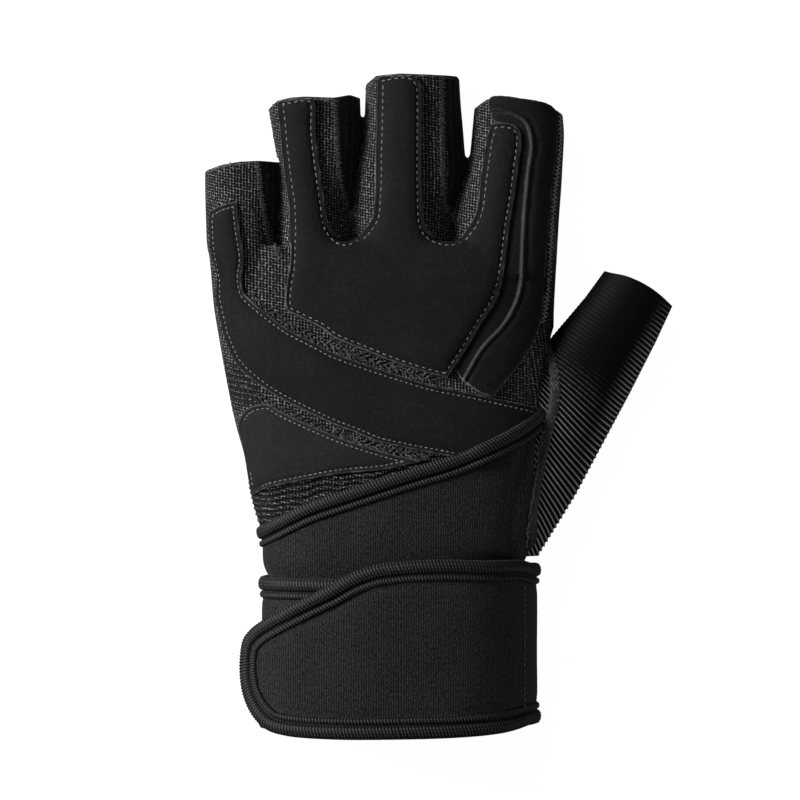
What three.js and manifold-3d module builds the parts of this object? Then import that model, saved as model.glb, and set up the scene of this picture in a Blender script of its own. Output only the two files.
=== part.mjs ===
// Weightlifting glove for the right hand, lying palm up on its back.
// Millimetres, +X towards the thumb, +Y towards the fingertips, +Z up out of the palm.

import * as THREE from 'three';
import { mergeVertices } from 'three/addons/utils/BufferGeometryUtils.js';
import Module from 'manifold-3d';

const wasm = await Module();
wasm.setup();

// Driving sizes of the hand form
const palmWidth = 105;
const palmDepth = 40;
const handLength = 100;
const wristWidth = 74;
const wristDepth = 38;
const fingerDepth = 25;
const pinkyLength = 26;
const ringLength = 36;
const middleLength = 43;
const indexLength = 36;
const thumbWidth = 21.6;
const thumbDepth = 22;
const thumbLength = 87;
const thumbAngle = 28;

// Driving sizes of the materials and trim
const knitWall = 1.5;
const neopreneWall = 3;
const padThickness = 1.6;
const bindingWidth = 6;
const bindingThickness = 1.6;
const strapHeight = 54.6;
const strapThickness = 2.2;
const tapeWidth = 5.5;
const tapeThickness = 0.8;
const ribPitch = 3.1;
const ribDepth = 0.5;
const gatherPitch = 2.8;
const gatherDepth = 0.5;
const gap = 0.3;
const weld = 0.001;

// Values worked out from the sizes
const strapBuild = 2 * (tapeThickness + gap) + strapThickness + gap;
const turnPitch = strapBuild;
const palmStart = strapHeight + gap;
const openEnd = 6;
const skyHeight = 2 * (palmDepth + wristDepth);
const pointsRound = 32;
const fingerPointsRound = 20;
const thumbPointsRound = 14;
const palmSquareness = 2.5;
const fingerSquareness = 2.3;
const wristMiddle = -0.107 * palmWidth;
const wristLevel = strapBuild + wristDepth / 2;

// Palm sections from the strap's upper edge to the webs of the fingers. along is a share of
// handLength, left and right are shares of palmWidth, low and high are shares of palmDepth.
const palmSections = [
  { along: 0.04, left: -0.495, right: 0.288, low: 0.07, high: 1.1 },
  { along: 0.18, left: -0.518, right: 0.297, low: 0.06, high: 1.07 },
  { along: 0.31, left: -0.535, right: 0.309, low: 0.03, high: 1.04 },
  { along: 0.45, left: -0.572, right: 0.323, low: -0.03, high: 0.99 },
  { along: 0.6, left: -0.602, right: 0.326, low: -0.05, high: 0.93 },
  { along: 0.75, left: -0.628, right: 0.331, low: -0.05, high: 0.85 },
  { along: 0.87, left: -0.637, right: 0.34, low: -0.05, high: 0.77 },
  { along: 0.925, left: -0.643, right: 0.343, low: -0.05, high: 0.72 },
];

// Finger tubes. web is the share of handLength where the finger leaves the hand. In edges, up
// is a share of the finger's length past its web, left and right are shares of palmWidth, and
// high is a share of fingerDepth.
const fingers = {
  pinky: {
    length: pinkyLength,
    web: 0.921,
    edges: [
      { up: -0.6, left: -0.631, right: -0.461, high: 1.14 },
      { up: 0, left: -0.649, right: -0.461, high: 1.1 },
      { up: 1, left: -0.66, right: -0.457, high: 0.96 },
    ],
  },
  ring: {
    length: ringLength,
    web: 1.024,
    edges: [
      { up: -0.5, left: -0.454, right: -0.234, high: 1.17 },
      { up: 0, left: -0.454, right: -0.234, high: 1.08 },
      { up: 0.08, left: -0.454, right: -0.246, high: 1.06 },
      { up: 0.45, left: -0.451, right: -0.231, high: 1.02 },
      { up: 1, left: -0.481, right: -0.217, high: 0.98 },
    ],
  },
  middle: {
    length: middleLength,
    web: 1.024,
    edges: [
      { up: -0.4, left: -0.251, right: 0.057, high: 1.18 },
      { up: 0, left: -0.251, right: 0.057, high: 1.1 },
      { up: 0.08, left: -0.24, right: 0.046, high: 1.07 },
      { up: 0.37, left: -0.225, right: 0.083, high: 1.03 },
      { up: 1, left: -0.21, right: 0.066, high: 0.99 },
    ],
  },
  index: {
    length: indexLength,
    web: 1.024,
    edges: [
      { up: -0.5, left: 0.034, right: 0.329, high: 1.17 },
      { up: 0, left: 0.034, right: 0.343, high: 1.09 },
      { up: 0.08, left: 0.052, right: 0.349, high: 1.06 },
      { up: 0.45, left: 0.089, right: 0.36, high: 1.02 },
      { up: 0.7, left: 0.1, right: 0.369, high: 1.0 },
      { up: 1, left: 0.109, right: 0.354, high: 0.98 },
    ],
  },
};
const fingerLow = -0.04;

// Thumb tube, straight on its outer side. along runs from its root to its tip as a share of
// thumbLength, width is a share of thumbWidth, low and high are shares of thumbDepth.
const thumbSections = [
  { along: 0, width: 1.75, low: 0.1, high: 1.4 },
  { along: 0.38, width: 1.56, low: 0.12, high: 1.38 },
  { along: 0.7, width: 1.28, low: 0.2, high: 1.32 },
  { along: 1, width: 1, low: 0.27, high: 1.27 },
];
const thumbRoot = { across: 0.269, along: -0.012 };

// The strap winds from under its own outer end, round the little finger's side, the back and
// the thumb's side, and over itself. turn is in degrees, top and low are shares of strapHeight,
// and lift is how far the strip stands off its winding, as a share of the winding's pitch.
const strapSections = [
  { turn: 60, top: 0.88, low: 0.02, lift: 0 },
  { turn: 180, top: 0.89, low: 0.02, lift: 0 },
  { turn: 270, top: 0.93, low: 0.01, lift: 0 },
  { turn: 340, top: 0.96, low: 0.01, lift: 0 },
  { turn: 400, top: 0.995, low: 0.005, lift: 1 },
  { turn: 450, top: 0.99, low: 0, lift: 1 },
  { turn: 460, top: 0.948, low: 0, lift: 1 },
  { turn: 470, top: 0.881, low: 0.005, lift: 1 },
  { turn: 480, top: 0.815, low: 0.012, lift: 1 },
  { turn: 490, top: 0.756, low: 0.027, lift: 1.09 },
  { turn: 500, top: 0.703, low: 0.044, lift: 1.26 },
  { turn: 510, top: 0.657, low: 0.093, lift: 1.51 },
  { turn: 520, top: 0.585, low: 0.209, lift: 1.83 },
  { turn: 525, top: 0.45, low: 0.34, lift: 2 },
];

// Height of the side seam between the palm and back panels: along is a share of handLength,
// level is a share of palmDepth.
const seamLine = [
  { along: -0.1, level: 0.55 },
  { along: 0.45, level: 0.49 },
  { along: 0.92, level: 0.36 },
  { along: 1.1, level: 0.31 },
  { along: 1.6, level: 0.31 },
];

// Gathers in the knit on the palm side: a patch between two shares of handLength and two
// shares of palmWidth, where the knit is drawn into small ridges.
const gatherPatches = [
  { from: 0.1, to: 0.24, left: -0.6, right: -0.1 },
  { from: 0.46, to: 0.57, left: -0.7, right: -0.5 },
];

// Outlines of the pads. A row is either [across, along] on the palm, or [finger, across, up]
// on a finger, in the shares that the sections above use.
const palmPadOutline = [
  ['ring', -0.457, 0.967],
  ['ring', -0.403, 0.985],
  ['ring', -0.349, 0.98],
  ['ring', -0.343, 0.717],
  ['ring', -0.331, 0.358],
  ['ring', -0.32, 0.117],
  [-0.309, 0.988],
  [-0.269, 0.952],
  [-0.217, 0.973],
  [-0.183, 1.015],
  ['middle', -0.174, 0.147],
  ['middle', -0.171, 0.678],
  ['middle', -0.169, 0.979],
  ['middle', -0.086, 0.985],
  ['middle', -0.054, 0.923],
  ['middle', -0.043, 0.804],
  ['middle', -0.043, 0.189],
  [-0.034, 0.991],
  [-0.011, 0.964],
  [0.029, 0.952],
  [0.057, 0.958],
  [0.094, 0.994],
  ['index', 0.117, 0.059],
  ['index', 0.129, 0.336],
  ['index', 0.143, 0.622],
  ['index', 0.16, 0.782],
  ['index', 0.191, 0.798],
  ['index', 0.223, 0.765],
  ['index', 0.237, 0.697],
  ['index', 0.231, 0.395],
  ['index', 0.217, 0.101],
  [0.206, 0.985],
  [0.191, 0.865],
  [0.169, 0.775],
  [0.123, 0.697],
  [0.083, 0.625],
  [0.029, 0.541],
  [-0.02, 0.55],
  [-0.134, 0.589],
  [-0.297, 0.661],
  [-0.4, 0.724],
  [-0.429, 0.757],
  [-0.423, 0.835],
  [-0.42, 0.955],
  ['ring', -0.423, 0.1],
  ['ring', -0.434, 0.35],
  ['ring', -0.446, 0.642],
];
const indexSidePadOutline = [
  ['index', 0.154, 0.97],
  ['index', 0.246, 0.98],
  ['index', 0.317, 0.941],
  ['index', 0.345, 0.874],
  ['index', 0.343, 0.597],
  ['index', 0.329, 0.311],
  ['index', 0.32, 0.059],
  [0.309, 0.925],
  [0.303, 0.805],
  [0.291, 0.715],
  [0.263, 0.64],
  [0.217, 0.565],
  [0.16, 0.492],
  [0.117, 0.502],
  [0.057, 0.532],
  [0.117, 0.655],
  [0.166, 0.745],
  [0.197, 0.925],
  ['index', 0.214, 0.227],
  ['index', 0.209, 0.605],
  ['index', 0.174, 0.714],
];
const pinkyStrapPadOutline = [
  ['pinky', -0.76, 0.46],
  ['pinky', -0.66, 0.46],
  ['pinky', -0.569, 0.575],
  ['pinky', -0.563, 0.287],
  [-0.549, 0.895],
  [-0.554, 0.835],
  [-0.546, 0.784],
  [-0.514, 0.76],
  [-0.469, 0.715],
  [-0.42, 0.685],
  [-0.3, 0.619],
  [-0.183, 0.574],
  [-0.02, 0.52],
  [0.16, 0.48],
  [0.32, 0.441],
  [0.2, 0.354],
  [0.103, 0.303],
  [0.009, 0.267],
  [-0.02, 0.315],
  [-0.134, 0.339],
  [-0.237, 0.378],
  [-0.371, 0.438],
  [-0.477, 0.498],
  [-0.54, 0.55],
  [-0.583, 0.595],
  [-0.611, 0.664],
  [-0.76, 0.7],
];
const heelPadOutline = [
  [-0.7, 0.42],
  [-0.563, 0.441],
  [-0.514, 0.459],
  [-0.477, 0.462],
  [-0.371, 0.405],
  [-0.277, 0.363],
  [-0.183, 0.33],
  [-0.034, 0.294],
  [-0.157, 0.264],
  [-0.277, 0.255],
  [-0.371, 0.24],
  [-0.469, 0.219],
  [-0.574, 0.192],
  [-0.7, 0.2],
];

// Middle line of the binding, where the knit panels end and the cuff begins.
const bindingLine = [
  [-0.75, 0.0],
  [-0.634, 0.012],
  [-0.52, 0.051],
  [-0.434, 0.099],
  [-0.349, 0.141],
  [-0.237, 0.18],
  [-0.117, 0.213],
  [-0.02, 0.246],
  [0.054, 0.273],
  [0.151, 0.309],
  [0.226, 0.363],
  [0.32, 0.429],
  [0.52, 0.5],
];

// Placing on the hand
function alongHand(along) {
  return palmStart + along * handLength;
}

function placed(row) {
  if (row.length === 3) {
    const finger = fingers[row[0]];
    return [row[1] * palmWidth, alongHand(finger.web) + row[2] * finger.length];
  }
  return [row[0] * palmWidth, alongHand(row[1])];
}

function between(rows, key, at, column) {
  const last = rows.length - 1;
  if (at <= rows[0][key]) {
    return rows[0][column];
  }
  if (at >= rows[last][key]) {
    return rows[last][column];
  }
  const next = rows.findIndex((row) => row[key] > at);
  const [before, after] = [rows[next - 1], rows[next]];
  const share = (at - before[key]) / (after[key] - before[key]);
  return before[column] + share * (after[column] - before[column]);
}

// Round sections: a superellipse, flattened where it lies on the surface under the glove
function bulge(value, squareness) {
  return Math.sign(value) * Math.abs(value) ** (2 / squareness);
}

function sectionPoint(row, angle, squareness) {
  const middleX = (row.left + row.right) / 2;
  const middleZ = (row.low + row.high) / 2;
  const x = middleX + ((row.right - row.left) / 2) * bulge(Math.cos(angle), squareness);
  const z = middleZ + ((row.high - row.low) / 2) * bulge(Math.sin(angle), squareness);
  return { x, z: Math.max(z, row.floor) };
}

// A closed skin through rings of points. caps lists the triangles that close its two ends.
function skin(rings, caps) {
  const count = rings[0].length;
  const last = (rings.length - 1) * count;
  const positions = rings.flat().flatMap((point) => [point.x, point.y, point.z]);
  const index = [];
  for (let first = 0; first < last; first += count) {
    for (let step = 0; step < count; step += 1) {
      const a = first + step;
      const b = first + ((step + 1) % count);
      index.push(a, b, a + count);
      index.push(b, b + count, a + count);
    }
  }
  for (const [a, b, c] of caps) {
    index.push(a, c, b);
    index.push(last + a, last + b, last + c);
  }
  const geometry = new THREE.BufferGeometry();
  geometry.setAttribute('position', new THREE.Float32BufferAttribute(positions, 3));
  geometry.setIndex(index);
  return geometry;
}

function fan(count) {
  const caps = [];
  for (let step = 1; step < count - 1; step += 1) {
    caps.push([0, step, step + 1]);
  }
  return caps;
}

function loft(rows, count, squareness) {
  const rings = rows.map((row) => {
    const ring = [];
    for (let step = 0; step < count; step += 1) {
      const point = sectionPoint(row, (-step / count) * 2 * Math.PI, squareness);
      const drawn = row.drawnIn ? row.drawnIn(point) : 0;
      ring.push({ x: point.x, y: row.y, z: point.z - drawn });
    }
    return ring;
  });
  return skin(rings, fan(count));
}

// Solids for cutting and joining, with points closer than weld made one
function solid(geometry) {
  const bare = geometry.clone();
  bare.deleteAttribute('normal');
  bare.deleteAttribute('uv');
  const merged = mergeVertices(bare, weld);
  const vertProperties = new Float32Array(merged.attributes.position.array);
  const triVerts = new Uint32Array(merged.index.array);
  return new wasm.Manifold(new wasm.Mesh({ numProp: 3, vertProperties, triVerts }));
}

function joined(solids) {
  return solids.reduce((whole, part) => whole.add(part));
}

function geometryOf(body) {
  const mesh = body.getMesh();
  const geometry = new THREE.BufferGeometry();
  geometry.setAttribute('position', new THREE.BufferAttribute(mesh.vertProperties, 3));
  geometry.setIndex(new THREE.BufferAttribute(mesh.triVerts, 1));
  return geometry;
}

// The main body of a cut piece, without the slivers that a grazing cut leaves beside it
function largest(whole) {
  const parts = solid(geometryOf(whole)).decompose();
  parts.sort((a, b) => b.volume() - a.volume());
  return parts[0];
}

function prism(outline, low, high) {
  const shape = new THREE.Shape(outline.map(([x, y]) => new THREE.Vector2(x, y)));
  const geometry = new THREE.ExtrudeGeometry(shape, { depth: high - low, bevelEnabled: false });
  geometry.translate(0, 0, low);
  return solid(geometry);
}

// Outlines: a smooth closed line through the placed rows, a grown copy, and a ribbon
function smoothOutline(rows, stepsPerPoint) {
  const points = rows.map(placed).map(([x, y]) => new THREE.Vector3(x, y, 0));
  const curve = new THREE.CatmullRomCurve3(points, true, 'centripetal');
  const steps = Math.round(rows.length * stepsPerPoint);
  return curve.getPoints(steps).slice(0, steps).map((point) => [point.x, point.y]);
}

function sideways(points, index, closed) {
  const last = points.length - 1;
  const before = points[closed ? (index + last) % points.length : Math.max(index - 1, 0)];
  const after = points[closed ? (index + 1) % points.length : Math.min(index + 1, last)];
  const length = Math.hypot(after[0] - before[0], after[1] - before[1]);
  return [(after[1] - before[1]) / length, -(after[0] - before[0]) / length];
}

function grown(outline, distance) {
  const points = outline.map(([x, y]) => new THREE.Vector2(x, y));
  const outward = THREE.ShapeUtils.isClockWise(points) ? -distance : distance;
  return outline.map(([x, y], index) => {
    const [sideX, sideY] = sideways(outline, index, true);
    return [x + outward * sideX, y + outward * sideY];
  });
}

function ribbon(line, width) {
  const right = line.map(([x, y], index) => {
    const [sideX, sideY] = sideways(line, index, false);
    return [x + (sideX * width) / 2, y + (sideY * width) / 2];
  });
  const left = line.map(([x, y], index) => {
    const [sideX, sideY] = sideways(line, index, false);
    return [x - (sideX * width) / 2, y - (sideY * width) / 2];
  });
  return [...right, ...left.reverse()];
}

// The hand form, grown or shrunk by an offset: wrist, palm and fingers in one skin
function wristRow(y, offset) {
  return {
    y,
    left: wristMiddle - wristWidth / 2 - offset,
    right: wristMiddle + wristWidth / 2 + offset,
    low: strapBuild - offset,
    high: strapBuild + wristDepth + offset,
    floor: -offset,
  };
}

function palmRow(along, offset) {
  return {
    y: alongHand(along),
    left: between(palmSections, 'along', along, 'left') * palmWidth - offset,
    right: between(palmSections, 'along', along, 'right') * palmWidth + offset,
    low: between(palmSections, 'along', along, 'low') * palmDepth - offset,
    high: between(palmSections, 'along', along, 'high') * palmDepth + offset,
    floor: -offset,
  };
}

function gatherRows(patch, offset) {
  const length = (patch.to - patch.from) * handLength;
  const ridges = Math.max(2, Math.round(length / gatherPitch));
  const rows = [];
  for (let step = 0; step <= 2 * ridges; step += 1) {
    const along = patch.from + ((patch.to - patch.from) * step) / (2 * ridges);
    const row = palmRow(along, offset);
    const middleZ = (row.low + row.high) / 2;
    const inPatch = ({ x, z }) =>
      z > middleZ && x > patch.left * palmWidth && x < patch.right * palmWidth;
    if (step % 2 === 1) {
      row.drawnIn = (point) => (inPatch(point) ? gatherDepth : 0);
    }
    rows.push(row);
  }
  return rows;
}

function palmForm(offset, gathered) {
  const start = offset < 0 ? -openEnd : 0;
  const rows = [wristRow(start, offset), wristRow(strapHeight, offset)];
  rows.push(...palmSections.map((section) => palmRow(section.along, offset)));
  if (gathered) {
    rows.push(...gatherPatches.flatMap((patch) => gatherRows(patch, offset)));
  }
  rows.sort((a, b) => a.y - b.y);
  const clear = rows.filter((row, index) => index === 0 || row.y - rows[index - 1].y > gap);
  const last = clear.at(-1);
  clear[clear.length - 1] = { ...last, y: last.y + offset };
  return solid(loft(clear, pointsRound, palmSquareness));
}

function fingerForm(finger, offset, past) {
  const rows = finger.edges.map((edge, index) => {
    const end = index === finger.edges.length - 1 ? past : 0;
    return {
      y: alongHand(finger.web) + edge.up * finger.length + end,
      left: edge.left * palmWidth - offset,
      right: edge.right * palmWidth + offset,
      low: fingerLow * fingerDepth - offset,
      high: edge.high * fingerDepth + offset,
      floor: -offset,
    };
  });
  return solid(loft(rows, fingerPointsRound, fingerSquareness));
}

function handForm(offset, gathered = false) {
  const past = offset < 0 ? openEnd : 0;
  const tubes = Object.values(fingers).map((finger) => fingerForm(finger, offset, past));
  return joined([palmForm(offset, gathered), ...tubes]);
}

// The thumb form, built along +Y with its straight side at x = 0, then leaned and placed
function thumbForm(offset, ribbed = false) {
  const ribs = Math.round(thumbLength / ribPitch);
  const steps = ribbed ? 2 * ribs : 6;
  const rows = [];
  for (let step = 0; step <= steps; step += 1) {
    const along = step / steps;
    const end = step === steps && offset < 0 ? openEnd : 0;
    const sunk = ribbed && step % 2 === 1 ? ribDepth : 0;
    const reach = offset - sunk;
    rows.push({
      y: along * thumbLength + end,
      left: -between(thumbSections, 'along', along, 'width') * thumbWidth - reach,
      right: reach,
      low: between(thumbSections, 'along', along, 'low') * thumbDepth - reach,
      high: between(thumbSections, 'along', along, 'high') * thumbDepth + reach,
      floor: -offset,
    });
  }
  const geometry = loft(rows, thumbPointsRound, fingerSquareness);
  geometry.rotateZ(THREE.MathUtils.degToRad(-thumbAngle));
  geometry.translate(thumbRoot.across * palmWidth, alongHand(thumbRoot.along), 0);
  return solid(geometry);
}

// Cutting shapes
const bindingPath = bindingLine.map(placed);
const farWrist = -2 * openEnd;
const farTip = alongHand(1) + 2 * middleLength;
const farSide = 2 * palmWidth;

function belowBinding(shift) {
  const edge = bindingPath.map(([x, y]) => [x, y + shift]);
  const corners = [
    [farSide, edge.at(-1)[1]],
    [farSide, farWrist],
    [-farSide, farWrist],
    [-farSide, edge[0][1]],
  ];
  return prism([...edge, ...corners], -skyHeight, skyHeight);
}

function aboveBinding(shift) {
  const edge = bindingPath.map(([x, y]) => [x, y + shift]);
  const corners = [
    [farSide, edge.at(-1)[1]],
    [farSide, farTip],
    [-farSide, farTip],
    [-farSide, edge[0][1]],
  ];
  return prism([...edge, ...corners], -skyHeight, skyHeight);
}

// Everything above (side 1) or below (side -1) the side seam, kept half a gap away from it
function seamSide(side) {
  const line = seamLine.map((row) => [
    alongHand(row.along),
    row.level * palmDepth + (side * gap) / 2,
  ]);
  const outline = [...line, [line.at(-1)[0], side * skyHeight], [line[0][0], side * skyHeight]];
  const shape = new THREE.Shape(outline.map(([y, z]) => new THREE.Vector2(y, z)));
  const geometry = new THREE.ExtrudeGeometry(shape, { depth: 2 * farSide, bevelEnabled: false });
  geometry.rotateY(Math.PI / 2);
  geometry.rotateX(Math.PI / 2);
  geometry.translate(-farSide, 0, 0);
  return solid(geometry);
}

const palmSide = seamSide(1);
const backSide = seamSide(-1);
const inside = handForm(-knitWall);
const thumbInside = thumbForm(-knitWall);
const thumbClear = thumbForm(gap);

// Knit front and smooth back: one shell, open at the wrist, the thumb and the fingertips
function panel(outside, side) {
  return largest(
    outside
      .intersect(side)
      .subtract(inside)
      .subtract(thumbInside)
      .intersect(aboveBinding(gap / 2)),
  );
}

const palmPanel = panel(handForm(0, true), palmSide);
const backPanel = panel(handForm(0), backSide);

// Cuff: a thicker wall below the binding line
const cuff = largest(
  palmForm(0, false)
    .subtract(palmForm(-neopreneWall, false))
    .subtract(thumbInside)
    .intersect(belowBinding(-gap / 2)),
);

// Thumb sleeve: a ribbed tube that ends on the hand form and above the strap
const strapClear = prism(
  [
    [-farSide, farWrist],
    [farSide, farWrist],
    [farSide, palmStart],
    [-farSide, palmStart],
  ],
  -skyHeight,
  skyHeight,
);
const thumbSleeve = largest(
  thumbForm(0, true).subtract(thumbInside).subtract(handForm(gap)).subtract(strapClear),
);

// Pads: slices of a layer that lies on the hand form, cut to their outlines
const padLayer = handForm(gap + padThickness)
  .subtract(handForm(gap))
  .intersect(palmSide)
  .subtract(thumbClear);
const bindingBand = ribbon(bindingPath, bindingWidth);
const bindingClear = prism(ribbon(bindingPath, bindingWidth + 2 * gap), -skyHeight, skyHeight);
const palmPadShape = smoothOutline(palmPadOutline, 1.6);

function pad(outline) {
  return padLayer.intersect(prism(outline, 0, skyHeight)).subtract(bindingClear);
}

const palmPad = largest(pad(palmPadShape));
const indexSidePad = largest(
  pad(smoothOutline(indexSidePadOutline, 2)).subtract(
    prism(grown(palmPadShape, gap), 0, skyHeight),
  ),
);
const pinkyStrapPad = largest(pad(smoothOutline(pinkyStrapPadOutline, 1.6)));
const heelPad = largest(pad(smoothOutline(heelPadOutline, 1.6)));

// Binding over the line where knit and cuff meet, down the sides to clear what is underneath
const bindingFloor = strapBuild;
const cuffBinding = largest(
  handForm(gap + bindingThickness)
    .subtract(handForm(gap))
    .intersect(prism(bindingBand, bindingFloor, skyHeight))
    .subtract(thumbClear)
    .subtract(strapClear),
);

// Strap winding: turn in degrees to a point at a height and a distance off the cuff
function windingPoint(turn, y, off) {
  const angle = THREE.MathUtils.degToRad(turn);
  const lift = between(strapSections, 'turn', turn, 'lift') * turnPitch;
  const x = (wristWidth / 2 + lift + off) * bulge(Math.cos(angle), palmSquareness);
  const z = (wristDepth / 2 + lift + off) * bulge(Math.sin(angle), palmSquareness);
  return { x: wristMiddle + x, y, z: wristLevel + z };
}

const turnStep = 360 / pointsRound;
const stripOff = 2 * gap + tapeThickness;
const windingTurns = [];
const firstTurn = Math.ceil(strapSections[0].turn / turnStep) * turnStep;
const freeTurn = 450;
let nextTurn = firstTurn;
while (nextTurn < strapSections.at(-1).turn) {
  windingTurns.push(nextTurn);
  nextTurn += nextTurn < freeTurn ? turnStep : turnStep / 2;
}
windingTurns.push(strapSections.at(-1).turn);

// Length along the winding at each of its stations, to measure distances on the strip
const stations = [{ turn: windingTurns[0], run: 0 }];
for (const turn of windingTurns.slice(1)) {
  const before = stations.at(-1);
  const from = windingPoint(before.turn, 0, stripOff);
  const to = windingPoint(turn, 0, stripOff);
  stations.push({ turn, run: before.run + Math.hypot(to.x - from.x, to.z - from.z) });
}

function stripPoint(run, y, off) {
  const last = stations.at(-1);
  const spare = Math.max(run - last.run, 0);
  const perDegree = (last.run - stations.at(-2).run) / (last.turn - stations.at(-2).turn);
  const turn = between(stations, 'run', run, 'turn') + spare / perDegree;
  return windingPoint(turn, y, off);
}

// The strip's edge as [run, y]: along the top to the round end and back along the bottom
const topEdge = stations.map(({ turn, run }) => [
  run,
  between(strapSections, 'turn', turn, 'top') * strapHeight,
]);
const lowEdge = stations.map(({ turn, run }) => [
  run,
  between(strapSections, 'turn', turn, 'low') * strapHeight,
]);
const stripEdge = [...topEdge, ...lowEdge.reverse()];

function insetEdge(distance) {
  return stripEdge.map(([run, y], index) => {
    const [sideX, sideY] = sideways(stripEdge, index, false);
    return [run + sideX * distance, y + sideY * distance];
  });
}

// Strap body: four corners at each station, inside the tape's fold
const strapEdge = insetEdge(gap + tapeThickness);
const strapRings = stations.map((station, index) => {
  const [topRun, topY] = strapEdge[index];
  const [lowRun, lowY] = strapEdge[strapEdge.length - 1 - index];
  return [
    stripPoint(topRun, topY, stripOff),
    stripPoint(lowRun, lowY, stripOff),
    stripPoint(lowRun, lowY, stripOff + strapThickness),
    stripPoint(topRun, topY, stripOff + strapThickness),
  ];
});

const wristStrap = solid(skin(strapRings, fan(4)));

// Tape: a folded strip, U-shaped in section, that wraps the strap's edge. Each row of its
// section is [distance in from the strap's edge, distance off the cuff].
const tapeIn = -gap;
const tapeOut = -gap - tapeThickness;
const underOuter = stripOff - gap;
const overInner = stripOff + strapThickness + gap;
const tapeSection = [
  [tapeOut, underOuter - tapeThickness],
  [tapeWidth + tapeOut, underOuter - tapeThickness],
  [tapeWidth + tapeOut, underOuter],
  [tapeIn, underOuter],
  [tapeIn, overInner],
  [tapeWidth + tapeOut, overInner],
  [tapeWidth + tapeOut, overInner + tapeThickness],
  [tapeOut, overInner + tapeThickness],
];
const tapeRings = strapEdge.map(([run, y], index) => {
  const [sideX, sideY] = sideways(stripEdge, index, false);
  return tapeSection.map(([inward, off]) =>
    stripPoint(run + sideX * inward, y + sideY * inward, off),
  );
});
const tapeCaps = [
  [0, 1, 2],
  [0, 2, 3],
  [0, 3, 4],
  [0, 4, 7],
  [4, 5, 6],
  [4, 6, 7],
];
const strapBinding = solid(skin(tapeRings, tapeCaps));

// The glove as named pieces, with its origin under the middle of its box
const group = new THREE.Group();

function addPiece(name, body, color, roughness) {
  const geometry = geometryOf(body);
  geometry.computeVertexNormals();
  const material = new THREE.MeshStandardMaterial({ color, roughness, metalness: 0 });
  const piece = new THREE.Mesh(geometry, material);
  piece.name = name;
  group.add(piece);
}

addPiece('palm_panel', palmPanel, '#161616', 0.9);
addPiece('back_panel', backPanel, '#0d0d0d', 0.75);
addPiece('thumb_sleeve', thumbSleeve, '#101010', 0.8);
addPiece('palm_pad', palmPad, '#1b1e1e', 0.95);
addPiece('index_side_pad', indexSidePad, '#121212', 0.95);
addPiece('pinky_strap_pad', pinkyStrapPad, '#1d2020', 0.95);
addPiece('heel_pad', heelPad, '#262626', 0.95);
addPiece('cuff', cuff, '#1a1a1a', 0.85);
addPiece('cuff_binding', cuffBinding, '#202020', 0.8);
addPiece('wrist_strap', wristStrap, '#161616', 0.85);
addPiece('strap_binding', strapBinding, '#222222', 0.8);

const box = new THREE.Box3().setFromObject(group);
const boxCentre = box.getCenter(new THREE.Vector3());
group.position.set(-boxCentre.x, -boxCentre.y, -box.min.z);

export default group;
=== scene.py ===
import math

import bpy
import numpy as np
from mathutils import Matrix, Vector, noise
from mathutils.bvhtree import BVHTree


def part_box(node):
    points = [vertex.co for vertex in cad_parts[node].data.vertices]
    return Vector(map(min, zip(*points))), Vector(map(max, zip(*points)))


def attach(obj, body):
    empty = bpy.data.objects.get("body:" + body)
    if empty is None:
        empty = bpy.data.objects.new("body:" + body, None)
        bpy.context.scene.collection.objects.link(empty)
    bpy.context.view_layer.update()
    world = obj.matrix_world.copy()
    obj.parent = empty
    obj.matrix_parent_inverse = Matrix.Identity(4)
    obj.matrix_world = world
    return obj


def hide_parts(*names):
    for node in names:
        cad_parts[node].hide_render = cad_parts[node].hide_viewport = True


# Weightlifting glove for the right hand, palm up. Shapes are worked out in millimetres on the
# hand (x towards the thumb, y from the wrist edge to the fingertips, z up) and placed in metres.
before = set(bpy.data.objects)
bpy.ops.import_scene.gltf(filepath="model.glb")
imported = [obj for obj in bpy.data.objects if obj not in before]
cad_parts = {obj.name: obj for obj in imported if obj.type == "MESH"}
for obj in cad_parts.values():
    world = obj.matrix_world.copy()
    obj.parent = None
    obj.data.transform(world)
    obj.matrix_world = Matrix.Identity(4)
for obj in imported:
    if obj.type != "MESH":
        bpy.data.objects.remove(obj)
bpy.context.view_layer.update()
cuffLow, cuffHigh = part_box("cuff")
cuffOffset = 10.6  # from the middle of the cuff to the hand's x = 0, in millimetres
handOrigin = np.array([(cuffLow[0] + cuffHigh[0]) * 500 + cuffOffset, cuffLow[1] * 1000, 0.0])
rng = np.random.default_rng(7)
print("frame loaded, hand origin at", handOrigin.round(2), "mm")


# Curves and plan outlines
def smoothStep(low, high, value):
    share = np.clip((np.asarray(value, float) - low) / (high - low), 0, 1)
    return share * share * (3 - 2 * share)


planGrid = {"cell": 0.3, "right": 437, "down": 740}  # cell in millimetres, and where x and y are 0


def onPlan(rows):
    # plan rows: first number to the right, second one down from the fingertips
    cell, right, down = planGrid["cell"], planGrid["right"], planGrid["down"]
    return np.array([((row[0] - right) * cell, (down - row[1]) * cell) for row in rows])


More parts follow.
